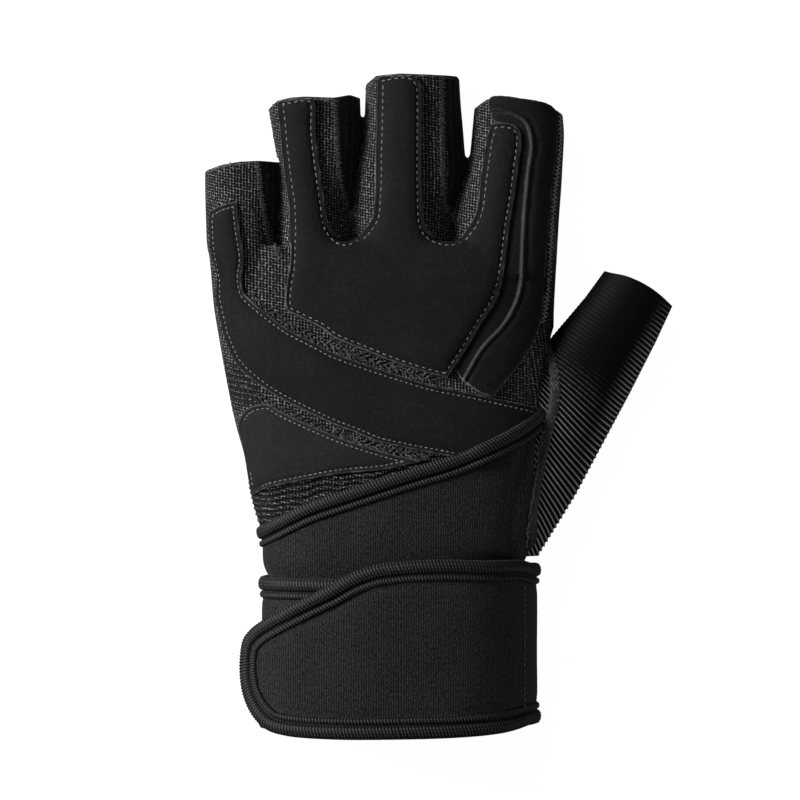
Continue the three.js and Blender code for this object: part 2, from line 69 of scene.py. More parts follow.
def splineRun(points, step, closed=False):
    # centripetal Catmull-Rom curve through the points
    points = np.asarray(points, float)
    if closed:
        full = np.vstack([points[-1:], points, points[:2]])
    else:
        full = np.vstack([2 * points[0] - points[1], points, 2 * points[-1] - points[-2]])
    out = []
    for i in range(1, len(full) - 2):
        p0, p1, p2, p3 = full[i - 1 : i + 3]
        k1 = np.linalg.norm(p1 - p0) ** 0.5 + 1e-9
        k2 = k1 + np.linalg.norm(p2 - p1) ** 0.5 + 1e-9
        k3 = k2 + np.linalg.norm(p3 - p2) ** 0.5 + 1e-9
        count = max(1, int(math.ceil(np.linalg.norm(p2 - p1) / step)))
        t = np.linspace(k1, k2, count, endpoint=False)[:, None]
        a1 = (k1 - t) / k1 * p0 + t / k1 * p1
        a2 = (k2 - t) / (k2 - k1) * p1 + (t - k1) / (k2 - k1) * p2
        a3 = (k3 - t) / (k3 - k2) * p2 + (t - k2) / (k3 - k2) * p3
        b1 = (k2 - t) / k2 * a1 + t / k2 * a2
        b2 = (k3 - t) / (k3 - k1) * a2 + (t - k1) / (k3 - k1) * a3
        out.append((k2 - t) / (k2 - k1) * b1 + (t - k1) / (k2 - k1) * b2)
    if not closed:
        out.append(full[-2][None, :])
    return np.vstack(out)


def outlineThrough(rows, step=0.7):
    # closed outline; a row with a third value is a sharp corner
    points = onPlan(rows)
    corners = [i for i, row in enumerate(rows) if len(row) > 2]
    if not corners:
        return splineRun(points, step, closed=True)
    runs = []
    for a, b in zip(corners, corners[1:] + [corners[0] + len(rows)]):
        picked = [points[i % len(rows)] for i in range(a, b + 1)]
        runs.append(splineRun(picked, step)[:-1])
    return np.vstack(runs)


def evenly(path, step, closed=False):
    # points at equal steps along a path, with their tangents and runs
    path = np.asarray(path, float)
    if closed:
        path = np.vstack([path, path[:1]])
    lengths = np.linalg.norm(np.diff(path, axis=0), axis=1)
    run = np.concatenate([[0], np.cumsum(lengths)])
    count = max(2, int(round(run[-1] / step)))
    at = np.linspace(0, run[-1], count + 1)
    if closed:
        at = at[:-1]
    points = np.stack([np.interp(at, run, path[:, k]) for k in range(path.shape[1])], axis=1)
    eps = min(step, 0.3)
    ahead = np.stack([np.interp(at + eps, run, path[:, k]) for k in range(path.shape[1])], axis=1)
    back = np.stack([np.interp(at - eps, run, path[:, k]) for k in range(path.shape[1])], axis=1)
    tangent = ahead - back
    tangent /= np.linalg.norm(tangent, axis=1)[:, None] + 1e-9
    return points, tangent, at


chunkSize = 1500  # points measured at a time


def signedDistance(points, outline):
    # millimetres inside a closed outline, below zero outside
    a = outline
    b = np.roll(outline, -1, axis=0)
    ab = b - a
    squares = (ab**2).sum(1) + 1e-12
    out = np.empty(len(points))
    for start in range(0, len(points), chunkSize):
        p = points[start : start + chunkSize, None, :2]
        t = np.clip(((p - a) * ab).sum(2) / squares, 0, 1)
        gapTo = p - (a + t[..., None] * ab)
        near = np.sqrt((gapTo**2).sum(2).min(1))
        cross = (a[:, 1] > p[..., 1]) != (b[:, 1] > p[..., 1])
        slope = ab[:, 0] * (p[..., 1] - a[:, 1]) / np.where(ab[:, 1] == 0, 1e-12, ab[:, 1])
        inside = (cross & (p[..., 0] < a[:, 0] + slope)).sum(1) % 2 == 1
        out[start : start + chunkSize] = np.where(inside, near, -near)
    return out


def distanceTo(points, path):
    # distance to an open path, and on which side of it (right is above zero)
    a, b = path[:-1], path[1:]
    ab = b - a
    squares = (ab**2).sum(1) + 1e-12
    out = np.empty(len(points))
    for start in range(0, len(points), chunkSize):
        p = points[start : start + chunkSize, None, :2]
        t = np.clip(((p - a) * ab).sum(2) / squares, 0, 1)
        gapTo = p - (a + t[..., None] * ab)
        square = (gapTo**2).sum(2)
        best = square.argmin(1)
        rows = np.arange(len(best))
        side = ab[best, 1] * gapTo[rows, best, 0] - ab[best, 0] * gapTo[rows, best, 1]
        out[start : start + chunkSize] = np.sqrt(square[rows, best]) * np.sign(side + 1e-12)
    return out


# Meshes as arrays: points may carry more columns than x, y, z, and cuts blend them all
def splitBy(points, tris, field):
    # cuts along the field's zero line; gives the points, and the triangles above and below
    field = np.where(np.abs(field) < 1e-5, 1e-5, field)
    above = field > 0
    flags = above[tris]
    count = flags.sum(1)
    mixed = (count == 1) | (count == 2)
    rows = tris[mixed]
    oddAbove = count[mixed] == 1
    odd = np.where(oddAbove, flags[mixed].argmax(1), flags[mixed].argmin(1))
    order = np.arange(len(rows))
    a, b, c = (rows[order, (odd + k) % 3] for k in range(3))
    pairs = np.sort(np.vstack([np.stack([a, b], 1), np.stack([a, c], 1)]), axis=1)
    pairs, back = np.unique(pairs, axis=0, return_inverse=True)
    back = back.reshape(-1)
    share = field[pairs[:, 0]] / (field[pairs[:, 0]] - field[pairs[:, 1]])
    fresh = points[pairs[:, 0]] + share[:, None] * (points[pairs[:, 1]] - points[pairs[:, 0]])
    ab = back[: len(rows)] + len(points)
    ac = back[len(rows) :] + len(points)
    tip = np.stack([a, ab, ac], 1)
    rest = np.vstack([np.stack([ab, b, c], 1), np.stack([ab, c, ac], 1)])
    twice = np.concatenate([oddAbove, oddAbove])
    upper = np.vstack([tris[count == 3], tip[oddAbove], rest[~twice]])
    lower = np.vstack([tris[count == 0], tip[~oddAbove], rest[twice]])
    return np.vstack([points, fresh]), upper, lower


def compact(points, tris):
    used, back = np.unique(tris, return_inverse=True)
    return points[used], back.reshape(tris.shape)


def keepAbove(points, tris, field):
    points, upper, _ = splitBy(points, tris, field)
    return compact(points, upper)


def addContours(points, tris, fieldOf, levels):
    # lines of edges along the levels of a field
    for level in levels:
        points, upper, lower = splitBy(points, tris, fieldOf(points) - level)
        tris = np.vstack([upper, lower])
    return points, tris


def normalsOf(points, tris):
    p = points[:, :3]
    face = np.cross(p[tris[:, 1]] - p[tris[:, 0]], p[tris[:, 2]] - p[tris[:, 0]])
    out = np.zeros_like(p)
    for k in range(3):
        np.add.at(out, tris[:, k], face)
    return out / (np.linalg.norm(out, axis=1)[:, None] + 1e-12)


def edgePairs(tris):
    # the outer edges of an open mesh, in the direction of their face
    edges = np.vstack([tris[:, [0, 1]], tris[:, [1, 2]], tris[:, [2, 0]]])
    key = np.sort(edges, axis=1)
    _, first, count = np.unique(key, axis=0, return_index=True, return_counts=True)
    return edges[first[count == 1]]


def edgeLoops(tris):
    after = {int(a): int(b) for a, b in edgePairs(tris)}
    loops = []
    while after:
        start, at = next(iter(after.items()))
        loop = [start]
        after.pop(start)
        while at != start and at in after:
            loop.append(at)
            at = after.pop(at)
        loops.append(loop)
    return loops


def closedShell(outer, inner, tris):
    # a closed body between two layers with the same triangles
    count = len(outer)
    rim = edgePairs(tris)
    walls = np.vstack(
        [
            np.stack([rim[:, 1], rim[:, 0], rim[:, 0] + count], 1),
            np.stack([rim[:, 1], rim[:, 0] + count, rim[:, 1] + count], 1),
        ]
    )
    return np.vstack([outer, inner]), np.vstack([tris, tris[:, ::-1] + count, walls])


def softened(values, tris, rounds, share=0.5, fixed=None):
    # Laplacian smoothing of any columns
    edges = np.vstack([tris[:, [0, 1]], tris[:, [1, 2]], tris[:, [2, 0]]])
    edges = np.unique(np.sort(edges, axis=1), axis=0)
    degree = np.bincount(edges.reshape(-1), minlength=len(values))[:, None]
    values = values.copy()
    for _ in range(rounds):
        total = np.zeros_like(values)
        np.add.at(total, edges[:, 0], values[edges[:, 1]])
        np.add.at(total, edges[:, 1], values[edges[:, 0]])
        fresh = values + share * (total / np.maximum(degree, 1) - values)
        if fixed is not None:
            fresh[fixed] = values[fixed]
        values = fresh
    return values


def blurred(values, size, closed=False):
    # values along a path averaged in a soft window, over the joint when closed
    kernel = np.hanning(size) / np.hanning(size).sum()
    before, after = values[:1].repeat(size, 0), values[-1:].repeat(size, 0)
    if closed:
        before, after = values[-size:], values[:size]
    padded = np.concatenate([before, values, after])
    columns = padded.reshape(len(padded), -1).T
    smooth = np.stack([np.convolve(column, kernel, "same") for column in columns], axis=1)
    return smooth[size:-size].reshape(values.shape)


def tubeTris(rows, around, closed=False):
    # triangles between rings of points, and back to the first ring when closed
    index = np.arange(rows * around).reshape(rows, around)
    a, b = (index, np.roll(index, -1, axis=0)) if closed else (index[:-1], index[1:])
    nextA, nextB = np.roll(a, -1, axis=1), np.roll(b, -1, axis=1)
    sides = [np.stack([a, nextA, nextB], 2), np.stack([a, nextB, b], 2)]
    return np.vstack([side.reshape(-1, 3) for side in sides])


def endCaps(rows, around):
    # flat fans over the first and the last ring of a tube
    fan = np.array([(0, k + 1, k) for k in range(1, around - 1)])
    return np.vstack([fan, fan[:, ::-1] + (rows - 1) * around])


def addPiece(name, points, faces, cadNode, finish, columns=None):
    mesh = bpy.data.meshes.new(name)
    place = (points[:, :3] + handOrigin) * 0.001
    place[:, 2] = np.maximum(place[:, 2], 0.00002)
    mesh.from_pydata(place.tolist(), [], faces.tolist())
    mesh.validate()
    mesh.polygons.foreach_set("use_smooth", [True] * len(mesh.polygons))
    for key, values in (columns or {}).items():
        values = np.asarray(values, np.float32)
        if values.ndim == 1:
            mesh.attributes.new(key, "FLOAT", "POINT").data.foreach_set("value", values)
        else:
            data = mesh.attributes.new(key, "FLOAT_VECTOR", "POINT").data
            data.foreach_set("vector", values.reshape(-1))
    mesh.materials.append(finish)
    piece = bpy.data.objects.new(name, mesh)
    bpy.context.scene.collection.objects.link(piece)
    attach(piece, "root")
    if cadNode:
        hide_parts(cadNode)
    print(f"{name}: {len(mesh.vertices)} points, {len(mesh.polygons)} faces")
    return piece


# Node materials
def newMaterial(name):
    item = bpy.data.materials.new(name)
    item.use_nodes = True
    return item, item.node_tree, item.node_tree.nodes["Principled BSDF"]


def node(tree, kind, **values):
    item = tree.nodes.new(kind)
    for key, value in values.items():
        setattr(item, key, value)
    return item


def calc(tree, operation, first, second=None, third=None):
    item = node(tree, "ShaderNodeMath", operation=operation)
    for socket, value in zip(item.inputs, (first, second, third)):
        if value is None:
            continue
        if isinstance(value, (int, float)):
            socket.default_value = value
        else:
            tree.links.new(value, socket)
    return item.outputs[0]


def noiseOf(tree, coords, scale, detail=3.0, roughness=0.55):
    item = node(tree, "ShaderNodeTexNoise")
    item.inputs["Scale"].default_value = scale
    item.inputs["Detail"].default_value = detail
    item.inputs["Roughness"].default_value = roughness
    tree.links.new(coords, item.inputs["Vector"])
    return item.outputs["Fac"]


def ramp(tree, value, stops):
    item = node(tree, "ShaderNodeValToRGB")
    line = item.color_ramp
    while len(line.elements) < len(stops):
        line.elements.new(0.5)
    for element, (place, shade) in zip(line.elements, stops):
        element.position = place
        element.color = (*shade, 1)
    tree.links.new(value, item.inputs["Fac"])
    return item.outputs["Color"]


def grey(level, tint=(1.0, 1.0, 1.0)):
    return tuple(level * t for t in tint)


def bumped(tree, shader, height, distance, strength=1.0):
    item = node(tree, "ShaderNodeBump")
    item.inputs["Distance"].default_value = distance
    item.inputs["Strength"].default_value = strength
    tree.links.new(height, item.inputs["Height"])
    tree.links.new(item.outputs["Normal"], shader.inputs["Normal"])


def attributeOf(tree, name, output="Fac"):
    item = node(tree, "ShaderNodeAttribute", attribute_name=name)
    return item.outputs[output]


def objectCoords(tree):
    return node(tree, "ShaderNodeTexCoord").outputs["Object"]


# how fine the specks, nap and clouds of the suede are, and how deep its nap in metres
suedeNap = {"speckle": 2600, "nap": 700, "mottle": 55, "relief": 0.00022}


def suedeMaterial(name, dark, light, rimShade, sheen, tint=(0.93, 1.0, 1.0)):
    item, tree, shader = newMaterial(name)
    coords = objectCoords(tree)
    speckle = noiseOf(tree, coords, suedeNap["speckle"], 2.5, 0.7)
    nap = noiseOf(tree, coords, suedeNap["nap"], 3, 0.6)
    mottle = noiseOf(tree, coords, suedeNap["mottle"], 3, 0.5)
    shade = calc(tree, "MULTIPLY", speckle, 0.55)
    shade = calc(tree, "MULTIPLY_ADD", nap, 0.25, shade)
    shade = calc(tree, "MULTIPLY_ADD", mottle, 0.2, shade)
    body = ramp(
        tree, shade, [(0.38, grey(dark, tint)), (0.62, grey(light, tint)), (0.66, grey(light * 4, tint))]
    )
    mix = node(tree, "ShaderNodeMix", data_type="RGBA")
    # lighter rim: partly the suede's own cut edge, partly painted highlight
    tree.links.new(attributeOf(tree, "rim"), mix.inputs["Factor"])
    tree.links.new(body, mix.inputs[6])
    edge = ramp(tree, speckle, [(0.35, grey(rimShade * 0.5)), (0.7, grey(rimShade * 1.4))])
    tree.links.new(edge, mix.inputs[7])
    tree.links.new(mix.outputs[2], shader.inputs["Base Color"])
    shader.inputs["Roughness"].default_value = 0.82
    shader.inputs["Specular IOR Level"].default_value = 0.18
    shader.inputs["Sheen Weight"].default_value = sheen
    shader.inputs["Sheen Roughness"].default_value = 0.45
    height = calc(tree, "MULTIPLY_ADD", speckle, 0.5, calc(tree, "MULTIPLY", nap, 0.5))
    bumped(tree, shader, height, suedeNap["relief"], 0.55)
    return item


def weaveAxes(tree):
    # millimetres round and along the hand
    split = node(tree, "ShaderNodeSeparateXYZ")
    tree.links.new(attributeOf(tree, "weave", "Vector"), split.inputs[0])
    return split.outputs[0], split.outputs[1]


def wave(tree, value, pitch, phase):
    # a cosine between 0 and 1, pitch in millimetres
    angle = calc(tree, "MULTIPLY", value, 2 * math.pi / pitch)
    angle = calc(tree, "ADD", angle, phase)
    return calc(tree, "MULTIPLY_ADD", calc(tree, "COSINE", angle), 0.5, 0.5)


def cells(tree, across, along, width, height, unrest):
    # distance to the middle of the nearest cell of a slightly uneven net
    join = node(tree, "ShaderNodeCombineXYZ")
    tree.links.new(calc(tree, "DIVIDE", across, width), join.inputs[0])
    tree.links.new(calc(tree, "DIVIDE", along, height), join.inputs[1])
    item = node(tree, "ShaderNodeTexVoronoi", voronoi_dimensions="2D")
    item.inputs["Scale"].default_value = 1.0
    item.inputs["Randomness"].default_value = unrest
    tree.links.new(join.outputs[0], item.inputs["Vector"])
    return item.outputs["Distance"]


def knitMaterial(name, settings):
    item, tree, shader = newMaterial(name)
    across, along = weaveAxes(tree)
    coords = objectCoords(tree)
    leaned = calc(tree, "MULTIPLY_ADD", across, settings["lean"], along)
    pitches = settings["columnPitch"], settings["rowPitch"]
    net = cells(tree, across, leaned, *pitches, settings["unrest"])
    speckle = noiseOf(tree, coords, 3000, 2, 0.7)
    mottle = noiseOf(tree, coords, 130, 2, 0.5)
    height = calc(tree, "MULTIPLY", net, 1.45)
    body = calc(tree, "MULTIPLY_ADD", speckle, 0.45, height)
    body = calc(tree, "MULTIPLY_ADD", mottle, 0.2, calc(tree, "SUBTRACT", body, 0.3))
    # painted shade: the knit is darkened in the valleys of the gathered folds
    body = calc(tree, "MULTIPLY_ADD", attributeOf(tree, "fold"), -0.75, body)
    # the light stop is a painted highlight on the threads
    stops = [
        (settings["low"], grey(settings["hole"])),
        (settings["middle"], grey(settings["dark"])),
        (0.98, grey(settings["light"])),
    ]
    tree.links.new(ramp(tree, body, stops), shader.inputs["Base Color"])
    shader.inputs["Roughness"].default_value = 0.65
    shader.inputs["Specular IOR Level"].default_value = 0.3
    shader.inputs["Sheen Weight"].default_value = 0.08
    bumped(tree, shader, body, settings["relief"] * 0.001, 1.0)
    return item


def neopreneMaterial(name, settings):
    item, tree, shader = newMaterial(name)
    across, along = weaveAxes(tree)
    coords = objectCoords(tree)
    wobble = calc(tree, "MULTIPLY_ADD", noiseOf(tree, coords, 420, 2), 2.0, -1.0)
    wale = wave(tree, across, settings["walePitch"], wobble)
    join = node(tree, "ShaderNodeCombineXYZ")
    tree.links.new(calc(tree, "DIVIDE", across, settings["grainWide"]), join.inputs[0])
    tree.links.new(calc(tree, "DIVIDE", along, settings["grainLong"]), join.inputs[1])
    grain = noiseOf(tree, join.outputs[0], 1.0, 2, 0.6)
    speckle = noiseOf(tree, coords, 2600, 2, 0.75)
    mottle = noiseOf(tree, coords, 60, 3, 0.55)
    body = calc(tree, "MULTIPLY", wale, 0.26)
    body = calc(tree, "MULTIPLY_ADD", grain, 1.0, body)
    body = calc(tree, "MULTIPLY_ADD", speckle, 0.7, body)
    body = calc(tree, "MULTIPLY_ADD", mottle, 0.2, calc(tree, "SUBTRACT", body, 0.58))
    shade = ramp(tree, body, [(0.45, grey(settings["dark"])), (0.62, grey(settings["light"]))])
    tree.links.new(shade, shader.inputs["Base Color"])
    shader.inputs["Roughness"].default_value = 0.7
    shader.inputs["Specular IOR Level"].default_value = 0.25
    shader.inputs["Sheen Weight"].default_value = 0.12
    bumped(tree, shader, body, 0.00022, 0.7)
    return item


def threadMaterial(name, dark, light, scale=2200, sheen=0.1):
    item, tree, shader = newMaterial(name)
    coords = objectCoords(tree)
    shade = noiseOf(tree, coords, scale, 3, 0.7)
    body = ramp(tree, shade, [(0.35, grey(dark)), (0.65, grey(light))])
    tree.links.new(body, shader.inputs["Base Color"])
    shader.inputs["Roughness"].default_value = 0.6
    shader.inputs["Specular IOR Level"].default_value = 0.3
    shader.inputs["Sheen Weight"].default_value = sheen
    bumped(tree, shader, shade, 0.0001, 0.5)
    return item


def ribbedMaterial(name, valley, crest, highlight, sheen, places=(0.25, 0.72, 1.0), gloss=0.3):
    # threads with painted shade between the ribs and a painted highlight along their crests
    item, tree, shader = newMaterial(name)
    coords = objectCoords(tree)
    speckle = noiseOf(tree, coords, 2400, 3, 0.7)
    # rib sets painted light: shade in the valleys, highlight on the crests
    crests = calc(tree, "MULTIPLY", attributeOf(tree, "rib"), 0.8)
    shade = calc(tree, "MULTIPLY_ADD", speckle, 0.45, crests)
    stops = [(place, grey(level)) for place, level in zip(places, (valley, crest, highlight))]
    tree.links.new(ramp(tree, shade, stops), shader.inputs["Base Color"])
    shader.inputs["Roughness"].default_value = 0.6
    shader.inputs["Specular IOR Level"].default_value = gloss
    shader.inputs["Sheen Weight"].default_value = sheen
    bumped(tree, shader, speckle, 0.0001, 0.5)
    return item


finishes = {
    "palmSuede": suedeMaterial("palm suede", 0.006, 0.020, 0.2, 0.02),
    "sideSuede": suedeMaterial("side suede", 0.006, 0.020, 0.18, 0.02, (1, 1, 1)),
    "heelSuede": suedeMaterial("heel suede", 0.012, 0.030, 0.2, 0.02, (1, 1, 1)),
    "knit": knitMaterial(
        "open knit",
        # pitches in millimetres, shades (the light one a painted thread highlight), relief in millimetres,
        # and the ramp's first two places
        {"rowPitch": 0.86, "columnPitch": 0.98, "hole": 0.0003, "dark": 0.003, "light": 0.46,
         "relief": 0.45, "lean": 0.18, "unrest": 0.24, "low": 0.42, "middle": 0.72},
    ),
    # the thumb's highlight stop is a painted highlight on its rib crests
    "ribbed": ribbedMaterial("ribbed thumb knit", 0.0018, 0.007, 0.72, 0.0, (0.18, 0.36, 0.9), 0.1),
    "back": knitMaterial(
        "back stretch fabric",
        {"rowPitch": 0.72, "columnPitch": 2.6, "hole": 0.0008, "dark": 0.005, "light": 0.05,
         "relief": 0.25, "lean": 0.4, "unrest": 0.3, "low": 0.3, "middle": 0.62},
    ),
    "neoprene": neopreneMaterial(
        "neoprene",
        {"walePitch": 0.72, "grainWide": 0.42, "grainLong": 0.9, "dark": 0.0001, "light": 0.039},
    ),
    # the valley shade and crest highlight of the binding are painted
    "binding": ribbedMaterial("binding ribs", 0.0005, 0.0062, 0.13, 0.015),
    "thread": threadMaterial("stitch thread", 0.14, 0.55, 2600, 0.05),
    "darkThread": threadMaterial("overlock thread", 0.01, 0.09, 2200, 0.03),
    "seamThread": threadMaterial("seam thread", 0.015, 0.16, 2200, 0.03),
    "fuzz": threadMaterial("seam fluff", 0.03, 0.34, 2600, 0.03),
}
print("materials made")


# Hand form: sections of the palm and fingers, a little fuller at the sides than the CAD solids
handForm = {
    # y, left, right, low, high in millimetres
    "palm": [
        (-8, -48.2, 25.8, 4.7, 42.7),
        (46.5, -48.2, 25.8, 4.7, 42.7),
        (49.5, -50.8, 25.8, 4.7, 43.0),
        (52.5, -52.3, 25.8, 4.5, 43.4),
        (54.6, -52.3, 26.6, 4.0, 43.7),
        (58.9, -52.2, 30.0, 2.8, 44.0),
        (63.0, -52.6, 30.4, 2.7, 43.7),
        (69.0, -54.6, 30.9, 2.5, 43.2),
        (75.0, -56.1, 31.4, 2.2, 42.6),
        (85.9, -57.8, 32.4, 1.2, 41.6),
        (93.0, -60.0, 33.2, 0.0, 40.6),
        (99.9, -61.6, 34.1, -1.2, 39.6),
        (114.9, -64.5, 34.9, -2.0, 37.2),
        (129.9, -67.1, 35.2, -2.0, 34.0),
        (141.9, -68.1, 35.9, -2.0, 30.8),
        (147.4, -68.8, 36.3, -2.0, 28.8),
    ],
    "pinky": [
        (131.4, -63.0, -48.4, -1, 28.5),
        (147.0, -69.2, -47.9, -1, 27.5),
        (165.0, -69.8, -46.9, -1, 25.2),
        (173.0, -69.8, -46.7, -1, 24.0),
        (176.5, -69.8, -46.8, -1, 23.6),
    ],
    "ring": [
        (139.3, -48.0, -24.6, -1, 29.2),
        (157.3, -47.8, -25.2, -1, 27.0),
        (165.0, -47.5, -24.6, -1, 26.2),
        (172.0, -48.2, -23.5, -1, 25.6),
        (177.0, -49.6, -22.7, -1, 25.2),
        (181.0, -49.8, -22.3, -1, 25.0),
        (184.0, -50.0, -22.8, -1, 24.9),
        (193.3, -51.0, -23.1, -1, 24.5),
        (198.0, -51.4, -23.2, -1, 24.3),
    ],
    "middle": [
        (140.1, -26.4, 6.0, -1, 29.5),
        (157.3, -26.0, 5.2, -1, 27.5),
        (161.0, -25.5, 5.8, -1, 26.8),
        (166.0, -25.0, 7.7, -1, 26.3),
        (172.0, -24.2, 9.4, -1, 25.8),
        (175.0, -23.6, 8.5, -1, 25.7),
        (181.0, -22.2, 8.1, -1, 25.5),
        (184.5, -21.7, 7.8, -1, 25.4),
        (192.0, -21.6, 7.1, -1, 25.1),
        (200.3, -21.2, 6.7, -1, 24.8),
        (204.0, -21.0, 6.6, -1, 24.6),
    ],
    "index": [
        (139.3, 3.6, 35.6, -1, 29.2),
        (150.0, 4.0, 36.4, -1, 28.0),
        (157.3, 4.4, 36.8, -1, 27.2),
        (161.0, 5.4, 37.1, -1, 26.5),
        (166.0, 7.2, 37.5, -1, 26.0),
        (172.0, 9.2, 37.8, -1, 25.6),
        (175.0, 9.9, 38.0, -1, 25.5),
        (182.5, 10.6, 38.4, -1, 25.0),
        (193.3, 11.6, 37.3, -1, 24.5),
        (197.0, 11.8, 37.0, -1, 24.4),
    ],
    "palmSquareness": 2.5,
    "fingerSquareness": 2.3,
    "voxel": 0.5,
    "softening": 6,
    "kept": 0.32,
}


def sectionTable(name, step=1.5):
    rows = np.array(handForm[name], float)
    y = np.arange(rows[0, 0], rows[-1, 0] + step / 2, step)
    table = np.stack([np.interp(y, rows[:, 0], rows[:, k]) for k in range(1, 5)], axis=1)
    for _ in range(3):
        inner = (table[:-2] + 2 * table[1:-1] + table[2:]) / 4
        table = np.vstack([table[:1], inner, table[-1:]])
    return y, table


sectionTables = {name: sectionTable(name) for name in ("palm", "pinky", "ring", "middle", "index")}


def sectionAt(name, y):
    at, table = sectionTables[name]
    return [np.interp(y, at, table[:, k]) for k in range(4)]


def bulge(value, squareness):
    # a sine or cosine for a rounded box instead of a circle
    return np.sign(value) * np.abs(value) ** (2 / squareness)


def tubeMesh(name, around):
    y, table = sectionTables[name]
    power = handForm["palmSquareness" if name == "palm" else "fingerSquareness"]
    angle = np.linspace(0, 2 * math.pi, around, endpoint=False)
    middleX, middleZ = table[:, :2].mean(1), table[:, 2:].mean(1)
    halfX, halfZ = np.ptp(table[:, :2], axis=1) / 2, np.ptp(table[:, 2:], axis=1) / 2
    x = middleX[:, None] + halfX[:, None] * bulge(np.cos(angle), power)
    z = middleZ[:, None] + halfZ[:, None] * bulge(np.sin(angle), power)
    z = np.maximum(z, 0.0)
    rings = np.stack([x, np.repeat(y[:, None], around, 1), z], axis=2).reshape(-1, 3)
    faces = []
    for i in range(len(y) - 1):
        for j in range(around):
            a, b = i * around + j, i * around + (j + 1) % around
            faces.append((a, a + around, b + around, b))
    faces.append(tuple(range(around)))
    faces.append(tuple(reversed(range(len(rings) - around, len(rings)))))
    return rings, faces


def bodyMesh():
    points, faces = [], []
    count = 0
    for name in sectionTables:
        rings, tube = tubeMesh(name, 96 if name == "palm" else 64)
        points.append(rings)
        faces += [tuple(i + count for i in face) for face in tube]
        count += len(rings)
    mesh = bpy.data.meshes.new("hand form")
    mesh.from_pydata((np.vstack(points) * 0.001).tolist(), [], faces)
    item = bpy.data.objects.new("hand form", mesh)
    bpy.context.scene.collection.objects.link(item)
    remesh = item.modifiers.new("remesh", "REMESH")
    remesh.mode = "VOXEL"
    remesh.voxel_size = handForm["voxel"] * 0.001
    soft = item.modifiers.new("soften", "SMOOTH")
    soft.iterations = handForm["softening"]
    soft.factor = 0.5
    fewer = item.modifiers.new("fewer faces", "DECIMATE")
    fewer.ratio = handForm["kept"]
    made = item.evaluated_get(bpy.context.evaluated_depsgraph_get()).to_mesh()
    made.calc_loop_triangles()
    place = np.empty(len(made.vertices) * 3)
    made.vertices.foreach_get("co", place)
    tris = np.empty(len(made.loop_triangles) * 3, int)
    made.loop_triangles.foreach_get("vertices", tris)
    bpy.data.objects.remove(item)
    return place.reshape(-1, 3) * 1000, tris.reshape(-1, 3)


bodyPoints, bodyTris = bodyMesh()
outward = normalsOf(bodyPoints, bodyTris)
if (outward * (bodyPoints - bodyPoints.mean(0))).sum() < 0:
    bodyTris = bodyTris[:, ::-1]
bodyTree = BVHTree.FromPolygons(bodyPoints.tolist(), bodyTris.tolist())
print("hand form:", len(bodyPoints), "points", len(bodyTris), "triangles")

# Where each finger begins and ends in plan
slotLines = {
    # y and x of the middle of the gap between two fingers
    "pinkyRing": ([147, 165, 173, 177, 193], [-48.0, -47.1, -47.0, -48.4, -51.4]),
    "ringMiddle": ([157, 165, 172, 181, 200], [-25.6, -24.8, -23.8, -22.25, -22.1]),
    "middleIndex": ([157, 161, 166, 172, 200], [4.8, 5.6, 7.4, 9.3, 9.2]),
}
tipLines = {
    "pinky": [(196, 178), (207, 170), (222, 165), (240, 162), (259, 161), (276, 162)],
    "ring": [(264, 111), (269, 108), (277, 101), (290, 98), (304, 97), (334, 98), (350, 95), (366, 99)],
    "middle": [(360, 88), (366, 84), (376, 76), (400, 74), (457, 76), (464, 84)],
    "index": [(470, 112), (476, 107), (486, 100), (494, 98), (523, 99), (548, 105), (566, 116)],
}
fingerNames = ("pinky", "ring", "middle", "index")
fingersFrom = 158  # y below which no fingertip is cut


def fingerAt(x, y):
    edges = [np.interp(y, *slotLines[key]) for key in ("pinkyRing", "ringMiddle", "middleIndex")]
    return sum((x > edge).astype(int) for edge in edges)


def tipField(points):
    x, y = points[:, 0], points[:, 1]
    which = fingerAt(x, y)
    out = np.full(len(points), 50.0)
    for number, name in enumerate(fingerNames):
        line = onPlan(tipLines[name])
        edge = np.interp(x, line[:, 0], line[:, 1])
        mine = (which == number) & (y > fingersFrom)
        out[mine] = (edge - y)[mine]
    return out


# The slanting cut between the panels and the cuff
bindingRows = [
    (180, 560), (230, 552), (262, 538), (285, 526), (309, 514), (347, 501), (386, 488), (420, 477),
    (450, 468), (480, 456), (510, 441), (530, 428), (552, 409), (600, 385), (640, 380),
]
bindingPlan = splineRun(onPlan(bindingRows), 1.0)


def bindingField(points):
    # millimetres above the cut
    return points[:, 1] - np.interp(points[:, 0], bindingPlan[:, 0], bindingPlan[:, 1])


def unitSection(name, points):
    # places in a section from -1 to 1, and its half width and height
    left, right, low, high = sectionAt(name, points[:, 1])
    u = (points[:, 0] - (left + right) / 2) / ((right - left) / 2)
    w = (points[:, 2] - (low + high) / 2) / ((high - low) / 2)
    return u, w, (right - left) / 2, (high - low) / 2


seamRows = {
    # y and the share across the finger where the knit ends on its right side
    "pinky": ([147, 152, 160, 173, 177], [0.98, 0.8, 0.6, 0.46, 0.44]),
    "ring": ([157, 162, 168, 180, 192, 198], [0.95, 0.75, 0.62, 0.5, 0.42, 0.4]),
    "middle": ([157, 161, 165, 180, 200], [0.92, 0.8, 0.74, 0.64, 0.6]),
    "index": ([140, 147, 160, 187, 194], [0.95, 0.9, 0.87, 0.86, 0.85]),
}


fingerSeamLevel = -0.25  # where a finger's seam meets its left side, from -1 to 1


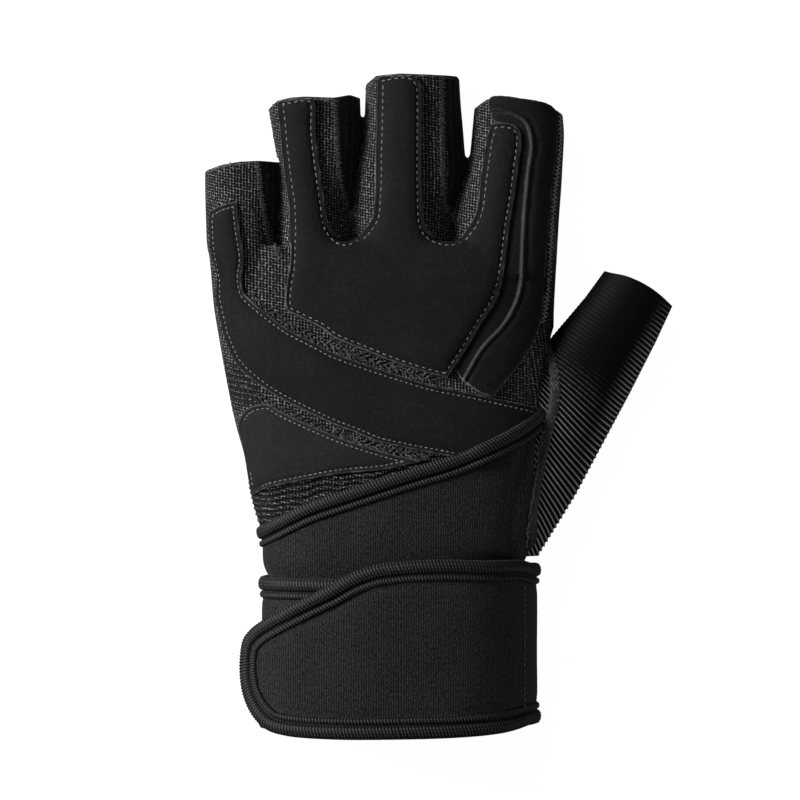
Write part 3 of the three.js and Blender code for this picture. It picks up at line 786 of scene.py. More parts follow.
def seamField(points):
    # above zero on the knitted front, below zero on the back
    y = points[:, 1]
    _, w, _, _ = unitSection("palm", points)
    palmSide = w - np.interp(y, [54, 99.9, 147], [0.05, 0.02, -0.1])
    which = fingerAt(points[:, 0], y)
    power = handForm["fingerSquareness"]
    fingerSide = np.zeros(len(points))
    for number, name in enumerate(fingerNames):
        u, w, _, _ = unitSection(name, points)
        seamU = np.interp(y, *seamRows[name])
        top = (1 - seamU**power) ** (1 / power)
        slope = (top - fingerSeamLevel) / (seamU + 1)
        mine = which == number
        fingerSide[mine] = (w - (fingerSeamLevel + slope * (u + 1)))[mine]
    share = smoothStep(143, 157, y)
    return palmSide * (1 - share) + fingerSide * share


flatShare = 0.86  # share of the palm's half width where the weave turns down its side


def weaveOf(points):
    # millimetres round the hand and along it, and the height
    y = points[:, 1]
    which = fingerAt(points[:, 0], y)
    out = np.zeros((len(points), 3))
    u, w, halfX, halfZ = unitSection("palm", points)
    down = np.sign(u) * (halfX * flatShare) + np.sign(u) * -w * halfZ
    out[:, 0] = np.where(np.abs(u) > flatShare, down, points[:, 0])
    for number, name in enumerate(fingerNames):
        u, w, halfX, halfZ = unitSection(name, points)
        mine = which == number
        arc = points[:, 0] - u * halfX + np.arctan2(u, w) * (halfX + halfZ) / 2
        share = smoothStep(141, 163, y)
        out[mine, 0] = (out[:, 0] * (1 - share) + arc * share)[mine]
    out[:, 1] = y
    out[:, 2] = points[:, 2]
    return out


gathers = [
    # plan patch on the palm side, pitch and height of the folds, how much they lean
    {
        "rows": [
            (236, 560), (243, 484), (290, 478), (370, 466), (440, 448), (452, 462), (350, 505), (262, 530),
        ],
        "pitch": 1.75, "height": 0.85, "lean": -0.13, "wave": 0.55,
    },
    {
        "rows": [(214, 352), (232, 360), (262, 388), (262, 402), (246, 410), (226, 416)],
        "pitch": 1.6, "height": 0.55, "lean": 0.28, "wave": 0.2,
    },
]


def makeGathers(points, tris):
    # ridges drawn into the knit, cut fine enough to bend; returns a painted shade mask, darkest in the
    # fold valleys
    foldShade = np.zeros(len(points))
    for patch in gathers:
        outline = splineRun(onPlan(patch["rows"]), 1.0, closed=True)
        pitch, lean = patch["pitch"], patch["lean"]

        def level(p):
            bend = np.sin(p[:, 0] * 0.19 + p[:, 1] * 0.31) + 0.5 * np.sin(p[:, 0] * 0.6)
            return p[:, 1] + lean * (p[:, 0] + 45) + patch["wave"] * bend

        low, high = outline.min(0) - 4, outline.max(0) + 4
        start = math.floor((low[1] - 4) / pitch) * pitch
        for step in np.arange(start, high[1] + 4, pitch / 4) + 1e-3:
            far = (points[:, 0] < low[0]) | (points[:, 0] > high[0])
            far |= (points[:, 1] < low[1]) | (points[:, 1] > high[1]) | (points[:, 2] < 15)
            close = ~far
            far[close] = signedDistance(points[close], outline) < -0.8
            field = level(points) - step
            busy = ~(far[tris].any(1))
            flags = (field > 0)[tris]
            if not (busy & flags.any(1) & ~flags.all(1)).any():
                continue
            points, upper, lower = splitBy(points, tris[busy], field)
            tris = np.vstack([tris[~busy], upper, lower])
        foldShade = np.concatenate([foldShade, np.zeros(len(points) - len(foldShade))])
        inside = smoothStep(-0.3, 1.6, signedDistance(points, outline))
        inside = inside * smoothStep(14, 30, points[:, 2])
        normal = normalsOf(points, tris)
        fold = 0.5 + 0.5 * np.cos(2 * math.pi * level(points) / pitch)
        points = points + normal * (inside * patch["height"] * (fold**0.8 - 0.45))[:, None]
        # painted shade mask, strongest in the fold valleys
        foldShade = np.maximum(foldShade, inside * smoothStep(0.55, 0.05, fold))
    return points, tris, foldShade


def clothArea(points, tris):
    # square metres of a layer in millimetres
    corner = points[tris[:, 0], :3]
    sides = np.cross(points[tris[:, 1], :3] - corner, points[tris[:, 2], :3] - corner)
    return np.linalg.norm(sides, axis=1).sum() / 2e6


def shellPiece(name, points, tris, thickness, cadNode, finish, foldShade=None):
    normal = softened(normalsOf(points, tris), tris, 3)
    normal /= np.linalg.norm(normal, axis=1)[:, None] + 1e-9
    weave = weaveOf(points)
    inner = points - normal * thickness
    both, faces = closedShell(points, inner, tris)
    print(f"{name}: cloth area {clothArea(points, tris):.5f} m2")
    foldShade = np.zeros(len(points)) if foldShade is None else foldShade
    # fold carries the painted shade of the fold valleys
    columns = {"weave": np.vstack([weave, weave]), "fold": np.concatenate([foldShade, foldShade])}
    return addPiece(name, both, faces, cadNode, finish, columns)


# Thumb sleeve: a ribbed tube that leans out of the palm
thumbForm = {
    # share along, outer side bulge, width, low, high in millimetres
    "rows": [
        (0.0, 0.0, 37.8, 2.2, 30.8),
        (0.2, 1.3, 36.0, 2.4, 30.6),
        (0.38, 2.6, 34.4, 2.7, 30.4),
        (0.7, 2.8, 28.9, 4.4, 29.0),
        (0.88, 2.5, 25.4, 5.3, 28.3),
        (1.0, 1.9, 23.4, 5.9, 27.9),
        (1.08, 1.5, 22.6, 6.1, 27.8),
    ],
    "squareness": 2.3,
    "length": 87.0,
    "angle": 28.0,
    "root": (28.2, 53.7),
    "ribs": 67,
    "ribHeight": 0.5,
    # how steeply the ribs slant from the root to the tip
    "slant": ([0, 0.3, 0.6, 1.0], [0.95, 0.6, 0.2, 0.06]),
    "tipLine": [(590, 262), (605, 271), (628, 277), (650, 288), (671, 305), (690, 324)],
    "rootCut": 55.2,
    "sunk": 1.0,
    "holeShare": 0.93,
    "wall": 1.2,
    "around": 84,
    "ringsPerRib": 8,
}


def thumbPoint(along, angle, lift):
    rows = np.array(thumbForm["rows"])
    bulgeOut, width, low, high = (np.interp(along, rows[:, 0], rows[:, k]) for k in range(1, 5))
    halfX, halfZ = width / 2 + lift, (high - low) / 2 + lift
    localX = bulgeOut - width / 2 + halfX * bulge(np.cos(angle), thumbForm["squareness"])
    localZ = (low + high) / 2 + halfZ * bulge(np.sin(angle), thumbForm["squareness"])
    slant = np.interp(along, *thumbForm["slant"])
    localY = along * thumbForm["length"] - slant * (localX + width / 2)
    lean = math.radians(thumbForm["angle"])
    x = thumbForm["root"][0] + localX * math.cos(lean) + localY * math.sin(lean)
    y = thumbForm["root"][1] - localX * math.sin(lean) + localY * math.cos(lean)
    return np.stack([x, y, np.maximum(localZ, 0.0)], axis=-1)


def outsidePalm(points):
    # millimetres outside the palm's section
    u, w, halfX, _ = unitSection("palm", points)
    power = handForm["palmSquareness"]
    radius = (np.abs(u) ** power + np.abs(w) ** power) ** (1 / power)
    return (radius - 1) * halfX


def makeThumb():
    start, end = -0.12, 1.08  # shares of the length, past both cuts
    count = int(thumbForm["ribs"] * thumbForm["ringsPerRib"] * (end - start))
    along = np.linspace(start, end, count)
    angle = np.linspace(0, 2 * math.pi, thumbForm["around"], endpoint=False)
    gridAlong, gridAngle = np.meshgrid(along, angle, indexing="ij")
    phase = gridAlong * thumbForm["ribs"]
    wander = 0.12 * np.sin(gridAngle * 3 + gridAlong * 9)
    crest = 0.5 + 0.5 * np.cos(2 * math.pi * (phase + wander))
    rib = crest**1.6
    rib *= np.interp(gridAlong, [0.0, 0.4, 0.7, 1.0], [1.0, 0.85, 0.25, 0.06])
    lift = thumbForm["ribHeight"] * (rib - 0.4)
    points = thumbPoint(gridAlong, gridAngle, lift).reshape(-1, 3)
    inner = thumbPoint(gridAlong, gridAngle, -thumbForm["wall"]).reshape(-1, 3)
    # painted highlights on the crests: all over near the root, and up the outer side where the light falls
    low = np.interp(gridAlong, [0.0, 0.35, 0.55, 0.76], [1.0, 0.92, 0.45, 0.02])
    edge = 0.9 * smoothStep(0.3, 0.95, np.cos(gridAngle))
    edge = edge * np.interp(gridAlong, [0.85, 1.0], [1.0, 0.5])
    paintedRibLight = crest**4 * np.maximum(low, edge)
    tris = tubeTris(len(along), len(angle))
    table = np.hstack([points, inner, paintedRibLight.reshape(-1, 1)])
    if (normalsOf(points, tris) * (points - points.mean(0))).sum() < 0:
        tris = tris[:, ::-1]
    tip = splineRun(onPlan(thumbForm["tipLine"]), 0.5)
    tipEdge = np.interp(table[:, 0], tip[:, 0], tip[:, 1])
    table, tris = keepAbove(table, tris, tipEdge - table[:, 1])
    table, tris = keepAbove(table, tris, table[:, 1] - thumbForm["rootCut"])
    table, tris = keepAbove(table, tris, outsidePalm(table) + thumbForm["sunk"])
    both, faces = closedShell(table[:, :3], table[:, 3:6], tris)
    # rib holds the painted crest highlights
    columns = {"rib": np.concatenate([table[:, 6], table[:, 6] * 0])}
    return table, tris, addPiece(
        "ribbed_thumb", both, faces, "thumb_sleeve", finishes["ribbed"], columns
    )


# Panels and cuff, cut from the hand form
points, tris = keepAbove(bodyPoints, bodyTris, tipField(bodyPoints))
wristCut = 3.0 + 4.5 * smoothStep(10, 40, np.abs(points[:, 0] + 11))  # rises towards the sides
points, tris = keepAbove(points, tris, points[:, 1] - wristCut)
points, panelTris, cuffTris = splitBy(points, tris, bindingField(points))
cuffPoints, cuffTris = compact(points, cuffTris)
panelPoints, panelTris = compact(points, panelTris)


def thumbHole(points):
    # below zero in the opening that the thumb leaves the palm by
    lean = math.radians(thumbForm["angle"])
    dx, dy = points[:, 0] - thumbForm["root"][0], points[:, 1] - thumbForm["root"][1]
    localX = dx * math.cos(lean) - dy * math.sin(lean)
    localY = dx * math.sin(lean) + dy * math.cos(lean)
    along = localY / thumbForm["length"]
    rows = np.array(thumbForm["rows"])
    width, low, high = (np.interp(along, rows[:, 0], rows[:, k]) for k in (2, 3, 4))
    u = (localX + width / 2) / (width / 2)
    w = (points[:, 2] - (low + high) / 2) / ((high - low) / 2)
    power = thumbForm["squareness"]
    radius = (np.abs(u) ** power + np.abs(w) ** power) ** (1 / power)
    return (radius - thumbForm["holeShare"]) * 12


panelPoints, panelTris = keepAbove(panelPoints, panelTris, thumbHole(panelPoints))
panelPoints, frontTris, backTris = splitBy(panelPoints, panelTris, seamField(panelPoints))
frontPoints, frontTris = compact(panelPoints, frontTris)
backPoints, backTris = compact(panelPoints, backTris)
frontPoints, frontTris, frontFoldShade = makeGathers(frontPoints, frontTris)
palmPanel = shellPiece(
    "knit_front", frontPoints, frontTris, 1.1, "palm_panel", finishes["knit"], frontFoldShade
)
backPanel = shellPiece(
    "stretch_back", backPoints, backTris, 1.1, "back_panel", finishes["back"]
)
cuffFolds = [
    # a crease in the cuff: plan path, depth, half width
    {"rows": [(532, 420), (524, 452), (517, 480), (510, 520), (505, 562)], "depth": 0.9, "half": 2.2},
    {"rows": [(549, 418), (541, 450), (535, 480), (530, 520), (526, 562)], "depth": 0.8, "half": 1.6},
]
for fold in cuffFolds:
    away = np.abs(distanceTo(cuffPoints, splineRun(onPlan(fold["rows"]), 1.0)))
    dent = fold["depth"] * np.exp(-((away / fold["half"]) ** 2)) * (cuffPoints[:, 2] > 20)
    cuffPoints = cuffPoints - normalsOf(cuffPoints, cuffTris) * dent[:, None]
cuffPiece = shellPiece(
    "neoprene_cuff", cuffPoints, cuffTris, 2.8, "cuff", finishes["neoprene"]
)
thumbTable, thumbTris, thumbPiece = makeThumb()
print(f"ribbed_thumb: cloth area {clothArea(thumbTable, thumbTris):.5f} m2")
thumbTree = BVHTree.FromPolygons(thumbTable[:, :3].tolist(), thumbTris.tolist())


# Draping on the hand: straight down, and round the sides near the silhouette
rayHeight = 80  # millimetres above the hand, where rays start
sideRadius = 7.0  # how far from a side the draping turns round it
sideTurn = 1.9  # and how far round it goes, in radians


def dropRay(x, y, tree):
    # place and normal of the surface under a plan point
    return tree.ray_cast(Vector((x, y, rayHeight)), Vector((0, 0, -1)))[:2]


fingerRoots = {"from": 141, "parted": 150, "to": 165}  # y where the sides pass from palm to fingers


def drapePoint(x, y, tree=bodyTree):
    left, right = (float(v) for v in sectionAt("palm", min(y, 147))[:2])
    if y > fingerRoots["from"]:
        number = int(fingerAt(np.array([x]), np.array([y]))[0])
        fingerLeft, fingerRight = (float(v) for v in sectionAt(fingerNames[number], y)[:2])
        share = float(smoothStep(fingerRoots["from"], fingerRoots["to"], y))
        if number == 0:
            left += share * (fingerLeft - left)
        elif y > fingerRoots["parted"]:
            left = fingerLeft
        if number == 3:
            right += share * (fingerRight - right)
        elif y > fingerRoots["parted"]:
            right = fingerRight
    if x < left + sideRadius:
        pivot, turn, sign = left + sideRadius, (left + sideRadius - x) / sideRadius, -1
    elif x > right - sideRadius:
        pivot, turn, sign = right - sideRadius, (x - right + sideRadius) / sideRadius, 1
    else:
        return dropRay(x, y, tree)
    first, _ = dropRay(pivot, y, tree)
    if first is None:
        return None, None
    turn = min(turn, sideTurn)
    centre = Vector((pivot, y, first.z - sideRadius))
    out = Vector((sign * math.sin(turn), 0, math.cos(turn)))
    return tree.ray_cast(centre + out * rayHeight / 2, -out)[:2]


def drape(plan):
    # the surface under each plan point, not a number where there is none
    surface = np.full((len(plan), 3), np.nan)
    for i, (x, y) in enumerate(plan[:, :2].tolist()):
        hit, _ = drapePoint(x, y)
        if hit is not None:
            surface[i] = hit
    return surface


def gridOver(outline, cell):
    # a triangle grid over an outline, its diagonals turned in a chequer
    low, high = outline.min(0) - cell, outline.max(0) + cell
    xs = np.arange(low[0], high[0] + cell, cell)
    ys = np.arange(low[1], high[1] + cell, cell)
    gx, gy = np.meshgrid(xs, ys, indexing="ij")
    index = np.arange(gx.size).reshape(gx.shape)
    a, b, c, d = index[:-1, :-1], index[1:, :-1], index[1:, 1:], index[:-1, 1:]
    even = (np.add.outer(np.arange(a.shape[0]), np.arange(a.shape[1])) % 2).astype(bool)
    one = np.where(even[..., None], np.stack([a, b, c], 2), np.stack([a, b, d], 2))
    two = np.where(even[..., None], np.stack([a, c, d], 2), np.stack([b, c, d], 2))
    tris = np.vstack([one.reshape(-1, 3), two.reshape(-1, 3)])
    return np.stack([gx.ravel(), gy.ravel()], axis=1), tris


def capsuleShape():
    # a short thread with rounded ends, one unit long
    rings = [(-0.44, 0.62), (-0.28, 0.95), (0.28, 0.95), (0.44, 0.62)]
    sides = 6
    points, faces = [(-0.5, 0, 0)], []
    for along, radius in rings:
        for k in range(sides):
            turn = 2 * math.pi * k / sides
            points.append((along, radius * math.cos(turn), radius * math.sin(turn)))
    points.append((0.5, 0, 0))
    last = len(points) - 1
    lastRing = last - sides
    for k in range(sides):
        n = (k + 1) % sides
        faces.append((0, 1 + n, 1 + k))
        for r in range(len(rings) - 1):
            a, b = 1 + r * sides + k, 1 + r * sides + n
            faces.append((a, b, b + sides))
            faces.append((a, b + sides, a + sides))
        faces.append((last, lastRing + k, lastRing + n))
    return np.array(points), np.array(faces)


capsulePoints, capsuleFaces = capsuleShape()


def dashes(places, tangents, normals, length, radius):
    # one small capsule of thread at each place
    tangents = tangents - normals * (tangents * normals).sum(1)[:, None]
    tangents /= np.linalg.norm(tangents, axis=1)[:, None] + 1e-9
    sides = np.cross(normals, tangents)
    length = np.broadcast_to(length, (len(places),))[:, None, None]
    radius = np.broadcast_to(radius, (len(places),))[:, None, None]
    local = capsulePoints[None]
    points = (
        places[:, None, :]
        + tangents[:, None, :] * local[..., :1] * length
        + sides[:, None, :] * local[..., 1:2] * radius
        + normals[:, None, :] * local[..., 2:3] * radius
    )
    shift = np.arange(len(places))[:, None, None] * len(capsulePoints)
    return points.reshape(-1, 3), (capsuleFaces[None] + shift).reshape(-1, 3)


def insetPath(outline, inset):
    # the outline moved inwards, and where it still keeps that distance
    points, tangent, _ = evenly(outline, 0.5, closed=True)
    area = (points[:, 0] * np.roll(points[:, 1], -1) - np.roll(points[:, 0], -1) * points[:, 1]).sum()
    side = np.stack([-tangent[:, 1], tangent[:, 0]], 1) * (1 if area > 0 else -1)
    moved = points + side * inset
    good = signedDistance(moved, outline) > inset * 0.96
    return moved, good


def stitchPlaces(outline, inset, pitch, skip=None):
    # even places and tangents along the inset line, in runs wherever it is clear
    moved, good = insetPath(outline, inset)
    if skip is not None:
        good &= ~skip(moved)
    start = 0 if good.all() else int(np.argmin(good))
    order = np.roll(np.arange(len(moved)), -start)
    runs = [[]]
    for i in list(order) + [order[0]]:
        if good[i] and (not runs[-1] or np.linalg.norm(moved[i] - moved[runs[-1][-1]]) < 3):
            runs[-1].append(i)
        else:
            runs.append([i] if good[i] else [])
    spaced = [evenly(moved[run], pitch) for run in runs if len(run) > 3]
    return np.vstack([row[0] for row in spaced]), np.vstack([row[1] for row in spaced])


pads = {}
# cuts in from a pad's outline, and across its raised line, in millimetres
padLevels = [0.15, 0.4, 0.8, 1.15, 1.5, 1.85, 2.3, 3.0]
ridgeLevels = [-0.9, -0.45, -0.1, 0.2, 0.5, 0.9, 1.4]


def makePad(name, settings):
    outline = outlineThrough(settings["rows"])
    plan, tris = gridOver(outline, settings["cell"])
    near = signedDistance(plan, outline)
    keep = (near[tris] > -settings["cell"] * 1.5).any(1)
    plan, tris = compact(np.hstack([plan, near[:, None]]), tris[keep])
    plan, tris = keepAbove(plan, tris, plan[:, 2])
    plan, tris = keepAbove(plan, tris, bindingField(plan) - 0.5)
    plan, tris = addContours(plan, tris, lambda p: p[:, 2], padLevels)
    depth = np.maximum(signedDistance(plan, outline), 0)
    table = np.hstack([plan[:, :2], depth[:, None]])
    ridgePath = None
    if "ridge" in settings:
        ridgePath = splineRun(onPlan(settings["ridge"]), 0.6)
        table, tris = addContours(table, tris, lambda p: distanceTo(p, ridgePath), ridgeLevels)
    table = np.hstack([table, drape(table)])
    onHand = ~np.isnan(table).any(1)
    table, tris = compact(table, tris[onHand[tris].all(1)])
    plan, depth, surface = table[:, :2], table[:, 2], table[:, 3:6]
    surface = softened(surface, tris, 6)
    normal = normalsOf(surface, tris)
    if normal[:, 2].mean() < 0:
        tris, normal = tris[:, ::-1], -normal
    normal = softened(normal, tris, 4)
    normal /= np.linalg.norm(normal, axis=1)[:, None]
    edge, crown = settings["edge"], settings["crown"]
    rim = np.interp(depth, [0, 0.15, 0.4], [0.72, 0.93, 1.0]) * edge
    groove = settings["groove"] * np.exp(-(((depth - settings["inset"]) / 0.42) ** 2))
    height = rim + crown * smoothStep(settings["inset"] * 0.6, settings["inset"] + 3.2, depth) - groove
    if ridgePath is not None:
        # lower on the left of the raised line, and a sunk line along its right
        ridgeSide = distanceTo(plan, ridgePath)
        height = height * 0.55 + settings["ridgeHeight"] * smoothStep(-0.15, 0.55, ridgeSide)
        height -= 0.5 * np.exp(-(((ridgeSide - 1.5) / 0.5) ** 2)) * smoothStep(0, 1, ridgeSide)
    puff = np.array([noise.noise(Vector((x * 0.09, y * 0.09, 3.0))) for x, y in plan.tolist()])
    height = height + 0.12 * puff * smoothStep(1.0, 5.0, depth)
    top = surface + normal * height[:, None]
    under = surface - normal * 0.25
    both, faces = closedShell(top, under, tris)
    # rim: lighter cut edges and raised line, partly the suede's own and partly painted highlight
    rimShade = np.interp(depth, [0, 0.24, 0.42], [1.0, 0.8, 0.0])
    if ridgePath is not None:
        rimShade = np.maximum(rimShade, 0.42 * np.exp(-(((ridgeSide - 0.12) / 0.3) ** 2)))
    columns = {"rim": np.concatenate([rimShade, np.ones(len(top))])}
    tree = BVHTree.FromPolygons(top.tolist(), tris.tolist())
    pads[name] = {"outline": outline, "tree": tree}
    finish = finishes[settings["finish"]]
    return addPiece(settings["piece"], both, faces, name, finish, columns)


stitchForm = {"inset": 1.45, "radius": 0.17, "turn": 0.05, "unrest": 0.08}


def stitchRow(name, places, tangents, tree, length):
    # a row of stitches on top of a pad
    spots, along, up = [], [], []
    for (x, y), (tx, ty) in zip(places.tolist(), tangents.tolist()):
        hit, normal = drapePoint(x, y, tree)
        if hit is None:
            continue
        ahead, _ = drapePoint(x + tx * 0.4, y + ty * 0.4, tree)
        if ahead is None:
            continue
        spots.append(tuple(hit))
        along.append(tuple((ahead - hit).normalized()))
        up.append(tuple(normal))
    spots, along, up = np.array(spots), np.array(along), np.array(up)
    along = along + rng.normal(0, stitchForm["turn"], along.shape)
    lengths = length * (1 + rng.normal(0, stitchForm["unrest"], len(spots)))
    radius = stitchForm["radius"]
    points, faces = dashes(spots + up * radius * 0.25, along, up, lengths, radius)
    return addPiece(name, points, faces, None, finishes["thread"])


padSettings = {
    "index_side_pad": {
        "piece": "side_suede_pad",
        "rows": [
            (491, 98), (523, 99), (548, 105), (558, 112, 1), (557, 146), (552, 180), (549, 210),
            (545, 250), (543, 290), (539, 320), (530, 345), (514, 370), (491, 399, 1), (477, 393),
            (461, 380), (452, 366, 1), (470, 336), (488, 305), (500, 270), (505, 230), (510, 190),
            (516, 150), (512, 130), (492, 122, 1),
        ],
        "ridge": [
            (455, 392), (463, 377), (480, 348), (500, 326), (513, 302), (518, 280), (520, 240),
            (522, 210), (526, 170), (529, 145), (524, 124), (508, 114), (480, 112),
        ],
        "ridgeHeight": 1.15,
        "cell": 0.95,
        "edge": 1.2,
        "crown": 0.5,
        "groove": 0.1,
        "inset": 1.2,
        "slot": "side_suede",
        "finish": "sideSuede",
    },
    "pinky_strap_pad": {
        "piece": "strap_suede_pad",
        "rows": [
            (203, 212, 1), (221, 206), (238, 201, 1), (240, 226), (245, 260), (243, 280), (246, 294),
            (257, 305), (273, 318), (290, 330), (315, 343), (332, 352), (347, 358), (373, 367), (407, 378),
            (430, 385), (460, 391), (493, 398), (546, 410, 1), (546, 424), (520, 442), (480, 462, 1),
            (430, 453), (390, 445), (378, 442), (354, 432), (340, 427), (307, 412), (280, 398), (270, 392),
            (248, 375), (233, 360), (219, 336, 1), (210, 300), (205, 260),
        ],
        "cell": 1.0,
        "edge": 1.15,
        "crown": 0.45,
        "groove": 0.3,
        "inset": 1.45,
        "slot": "suede",
        "finish": "palmSuede",
    },
    "heel_pad": {
        "piece": "heel_suede_pad",
        "rows": [
            (228, 425, 1), (242, 412), (257, 405), (270, 404), (280, 410), (307, 423), (340, 437),
            (373, 448), (402, 456), (429, 460, 1), (407, 465), (382, 470), (340, 474), (307, 480),
            (273, 487), (243, 495, 1), (238, 484), (232, 450),
        ],
        "cell": 1.0,
        "edge": 1.1,
        "crown": 0.35,
        "groove": 0.3,
        "inset": 1.45,
        "slot": "heel_suede",
        "finish": "heelSuede",
    },
    "palm_pad": {
        "piece": "palm_suede_pad",
        "rows": [
            (277, 101, 1), (304, 97), (314, 99), (316, 106), (316, 131), (321, 174), (325, 203),
            (330, 229), (343, 241), (361, 234), (373, 220), (376, 196), (377, 120), (378, 77, 1),
            (407, 74), (415, 77), (421, 86), (422, 102), (422, 135), (422, 190), (425, 228),
            (433, 237), (447, 241), (458, 239), (470, 227), (477, 213), (482, 177), (487, 143),
            (492, 124, 1), (504, 123), (515, 126), (521, 134), (518, 170), (514, 200), (509, 230),
            (504, 270), (496, 300), (480, 326), (466, 350), (447, 379, 1), (430, 375), (390, 362),
            (373, 355), (333, 338), (323, 330), (297, 317), (288, 312), (286, 305), (288, 280),
            (290, 270), (290, 210), (285, 181), (281, 140),
        ],
        "cell": 1.0,
        "edge": 1.7,
        "crown": 0.7,
        "groove": 0.35,
        "inset": 1.45,
        "slot": "suede",
        "finish": "palmSuede",
    },
}
for padName, padValues in padSettings.items():
    makePad(padName, padValues)


def underTape(plan):
    # where the cuff's binding covers the stitches
    return bindingField(plan) < 4.2


def roundSide(plan):
    # where the heel pad turns down the side of the hand
    return plan[:, 0] < -59


# pad, pitch and length of its stitches in millimetres, and where they are left out
for padName, pitch, long, skip in (
    ("palm_pad", 2.05, 1.15, None),
    ("heel_pad", 1.55, 0.95, roundSide),
    ("pinky_strap_pad", 1.6, 0.95, underTape),
):
    pad = pads[padName]
    spots, along = stitchPlaces(pad["outline"], stitchForm["inset"], pitch, skip)
    stitchRow(f"{padName}_stitches", spots, along, pad["tree"], long)
print("pads made")


# Ribbed bindings: a roll over the edge, a stitched groove and a flange
bindingForm = {"ribPitch": 0.96, "ribHeight": 0.3, "slant": 0.26, "overPads": 1.25}


def bindingStrip(name, frames, section, cadNode):
    # frames["place"] takes distances in from the edge and heights off the surface
    inward, height, weight = section.T
    turns = frames["run"][:, None] / bindingForm["ribPitch"] + bindingForm["slant"] * inward
    crest = (0.5 + 0.5 * np.cos(2 * math.pi * turns)) * weight
    grid = frames["place"](np.broadcast_to(inward, crest.shape), height + bindingForm["ribHeight"] * crest)
    rows, columns = crest.shape
    tris = tubeTris(rows, columns, frames["closed"])
    if not frames["closed"]:
        tris = np.vstack([tris, endCaps(rows, columns)])
    # the crests also set the painted valley shade and crest highlight
    crests = {"rib": crest.reshape(-1)}
    return addPiece(
        name, grid.reshape(-1, 3), tris, cadNode, finishes["binding"], crests
    )


bindingSection = np.array(
    [
        # in from the edge, off the surface, share of the rib
        (-0.15, -0.9, 0.3), (-0.5, -0.4, 0.7), (-0.55, 0.2, 1.0), (-0.25, 0.75, 1.0), (0.5, 1.15, 1.0),
        (1.5, 1.3, 1.0), (2.5, 1.15, 1.0), (3.1, 0.75, 0.8), (3.4, 0.2, 0.1), (3.7, 0.15, 0.1),
        (3.95, 0.55, 0.9), (4.5, 0.8, 1.0), (5.2, 0.7, 1.0), (5.6, 0.35, 0.7), (5.75, -0.1, 0.1),
        (5.4, -0.45, 0.0), (3.0, -0.5, 0.0), (0.8, -0.6, 0.0),
    ]
)


def cuffBindingFrames():
    # all round the body along the cut between the panels and the cuff
    loop = max(edgeLoops(cuffTris), key=lambda rows: cuffPoints[rows, 1].mean())
    path = cuffPoints[loop]
    path, tangent, run = evenly(path, bindingForm["ribPitch"] / 5, closed=True)
    normal = np.array([tuple(bodyTree.find_nearest(Vector(p))[1]) for p in path.tolist()])
    window = 41
    path = blurred(path, window, closed=True)
    tangent = blurred(tangent, window, closed=True)
    tangent /= np.linalg.norm(tangent, axis=1)[:, None]
    normal = blurred(blurred(normal, window, closed=True), window, closed=True)
    normal -= tangent * (normal * tangent).sum(1)[:, None]
    normal /= np.linalg.norm(normal, axis=1)[:, None]
    down = np.cross(tangent, normal)
    if down[:, 1].mean() > 0:
        down = -down
    # the hand's surface on lines across the tape, from its upper edge down
    start = path - down * 3.0
    steps = np.linspace(-1, 6.5, 7)
    surface = np.empty((len(path), len(steps), 3))
    for i in range(len(path)):
        for k, w in enumerate(steps):
            surface[i, k] = bodyTree.find_nearest(Vector(start[i] + down[i] * w))[0]
    for k in range(len(steps)):
        surface[:, k] = blurred(surface[:, k], window, closed=True)
    # raised where it runs over the diagonal pad
    over = smoothStep(7, 14, path[:, 0]) * smoothStep(24, 36, path[:, 2]) * bindingForm["overPads"]

    def place(wide, high):
        out = np.empty((*wide.shape, 3))
        high = high + over[:, None]
        for j in range(wide.shape[1]):
            at = np.clip((wide[0, j] - steps[0]) / (steps[1] - steps[0]), 0, len(steps) - 1.001)
            k = int(at)
            out[:, j] = surface[:, k] * (1 - at + k) + surface[:, k + 1] * (at - k)
        return out + normal[:, None, :] * high[..., None]

    return {"run": run, "place": place, "closed": True}


bindingStrip("cuff_edge_tape", cuffBindingFrames(), bindingSection, "cuff_binding")
print("cuff binding made")


# Wrist strap: a long strip wound one turn and a half, with its free end on the little finger's side
strapForm = {
    # turn in degrees, top, low in millimetres, lift in windings
    "rows": [
        (62, 48.0, 4.0, 0), (180, 48.6, 4.5, 0), (270, 50.8, 5.0, 0), (340, 52.4, 6.0, 0),
        (372, 53.2, 4.6, 0), (425, 54.3, 0.6, 1), (450, 54.3, 0.6, 1), (480, 50, 1, 1),
        (490, 48, 1, 1.09), (500, 45, 1, 1.26), (510, 40, 1, 1.51), (520, 35, 1, 1.83),
        (530, 30, 1, 2.05), (545, 30, 1, 2.2),
    ],
    "middle": -11.2,
    "level": 23.7,
    "halfX": 37.5,
    "halfZ": 19.0,
    "pitch": 4.7,
    "inner": 1.3,
    "thick": 2.4,
    "underFrom": 372,
    "crease": {"inset": 6.3, "depth": 0.35, "half": 0.9},
    "sag": 0.25,
    # outline of the layer that shows, from the thumb's side over the top and round the free end
    "top": [
        (531, 564), (520, 561), (484, 561), (440, 560), (400, 562), (373, 566), (351, 574), (329, 586),
        (307, 597), (284, 609), (263, 621), (253, 629), (246, 639), (243, 658), (244, 682), (249, 700),
        (257, 714), (269, 725), (286, 730), (329, 733), (396, 733), (462, 731), (505, 727), (527, 721),
    ],
}
windingTurn = np.arange(62, 546, 1.0)
strapRows = np.array(strapForm["rows"], float)
windingLift = np.interp(windingTurn, strapRows[:, 0], strapRows[:, 3])
for _ in range(40):
    windingLift[1:-1] = (windingLift[:-2] + 2 * windingLift[1:-1] + windingLift[2:]) / 4


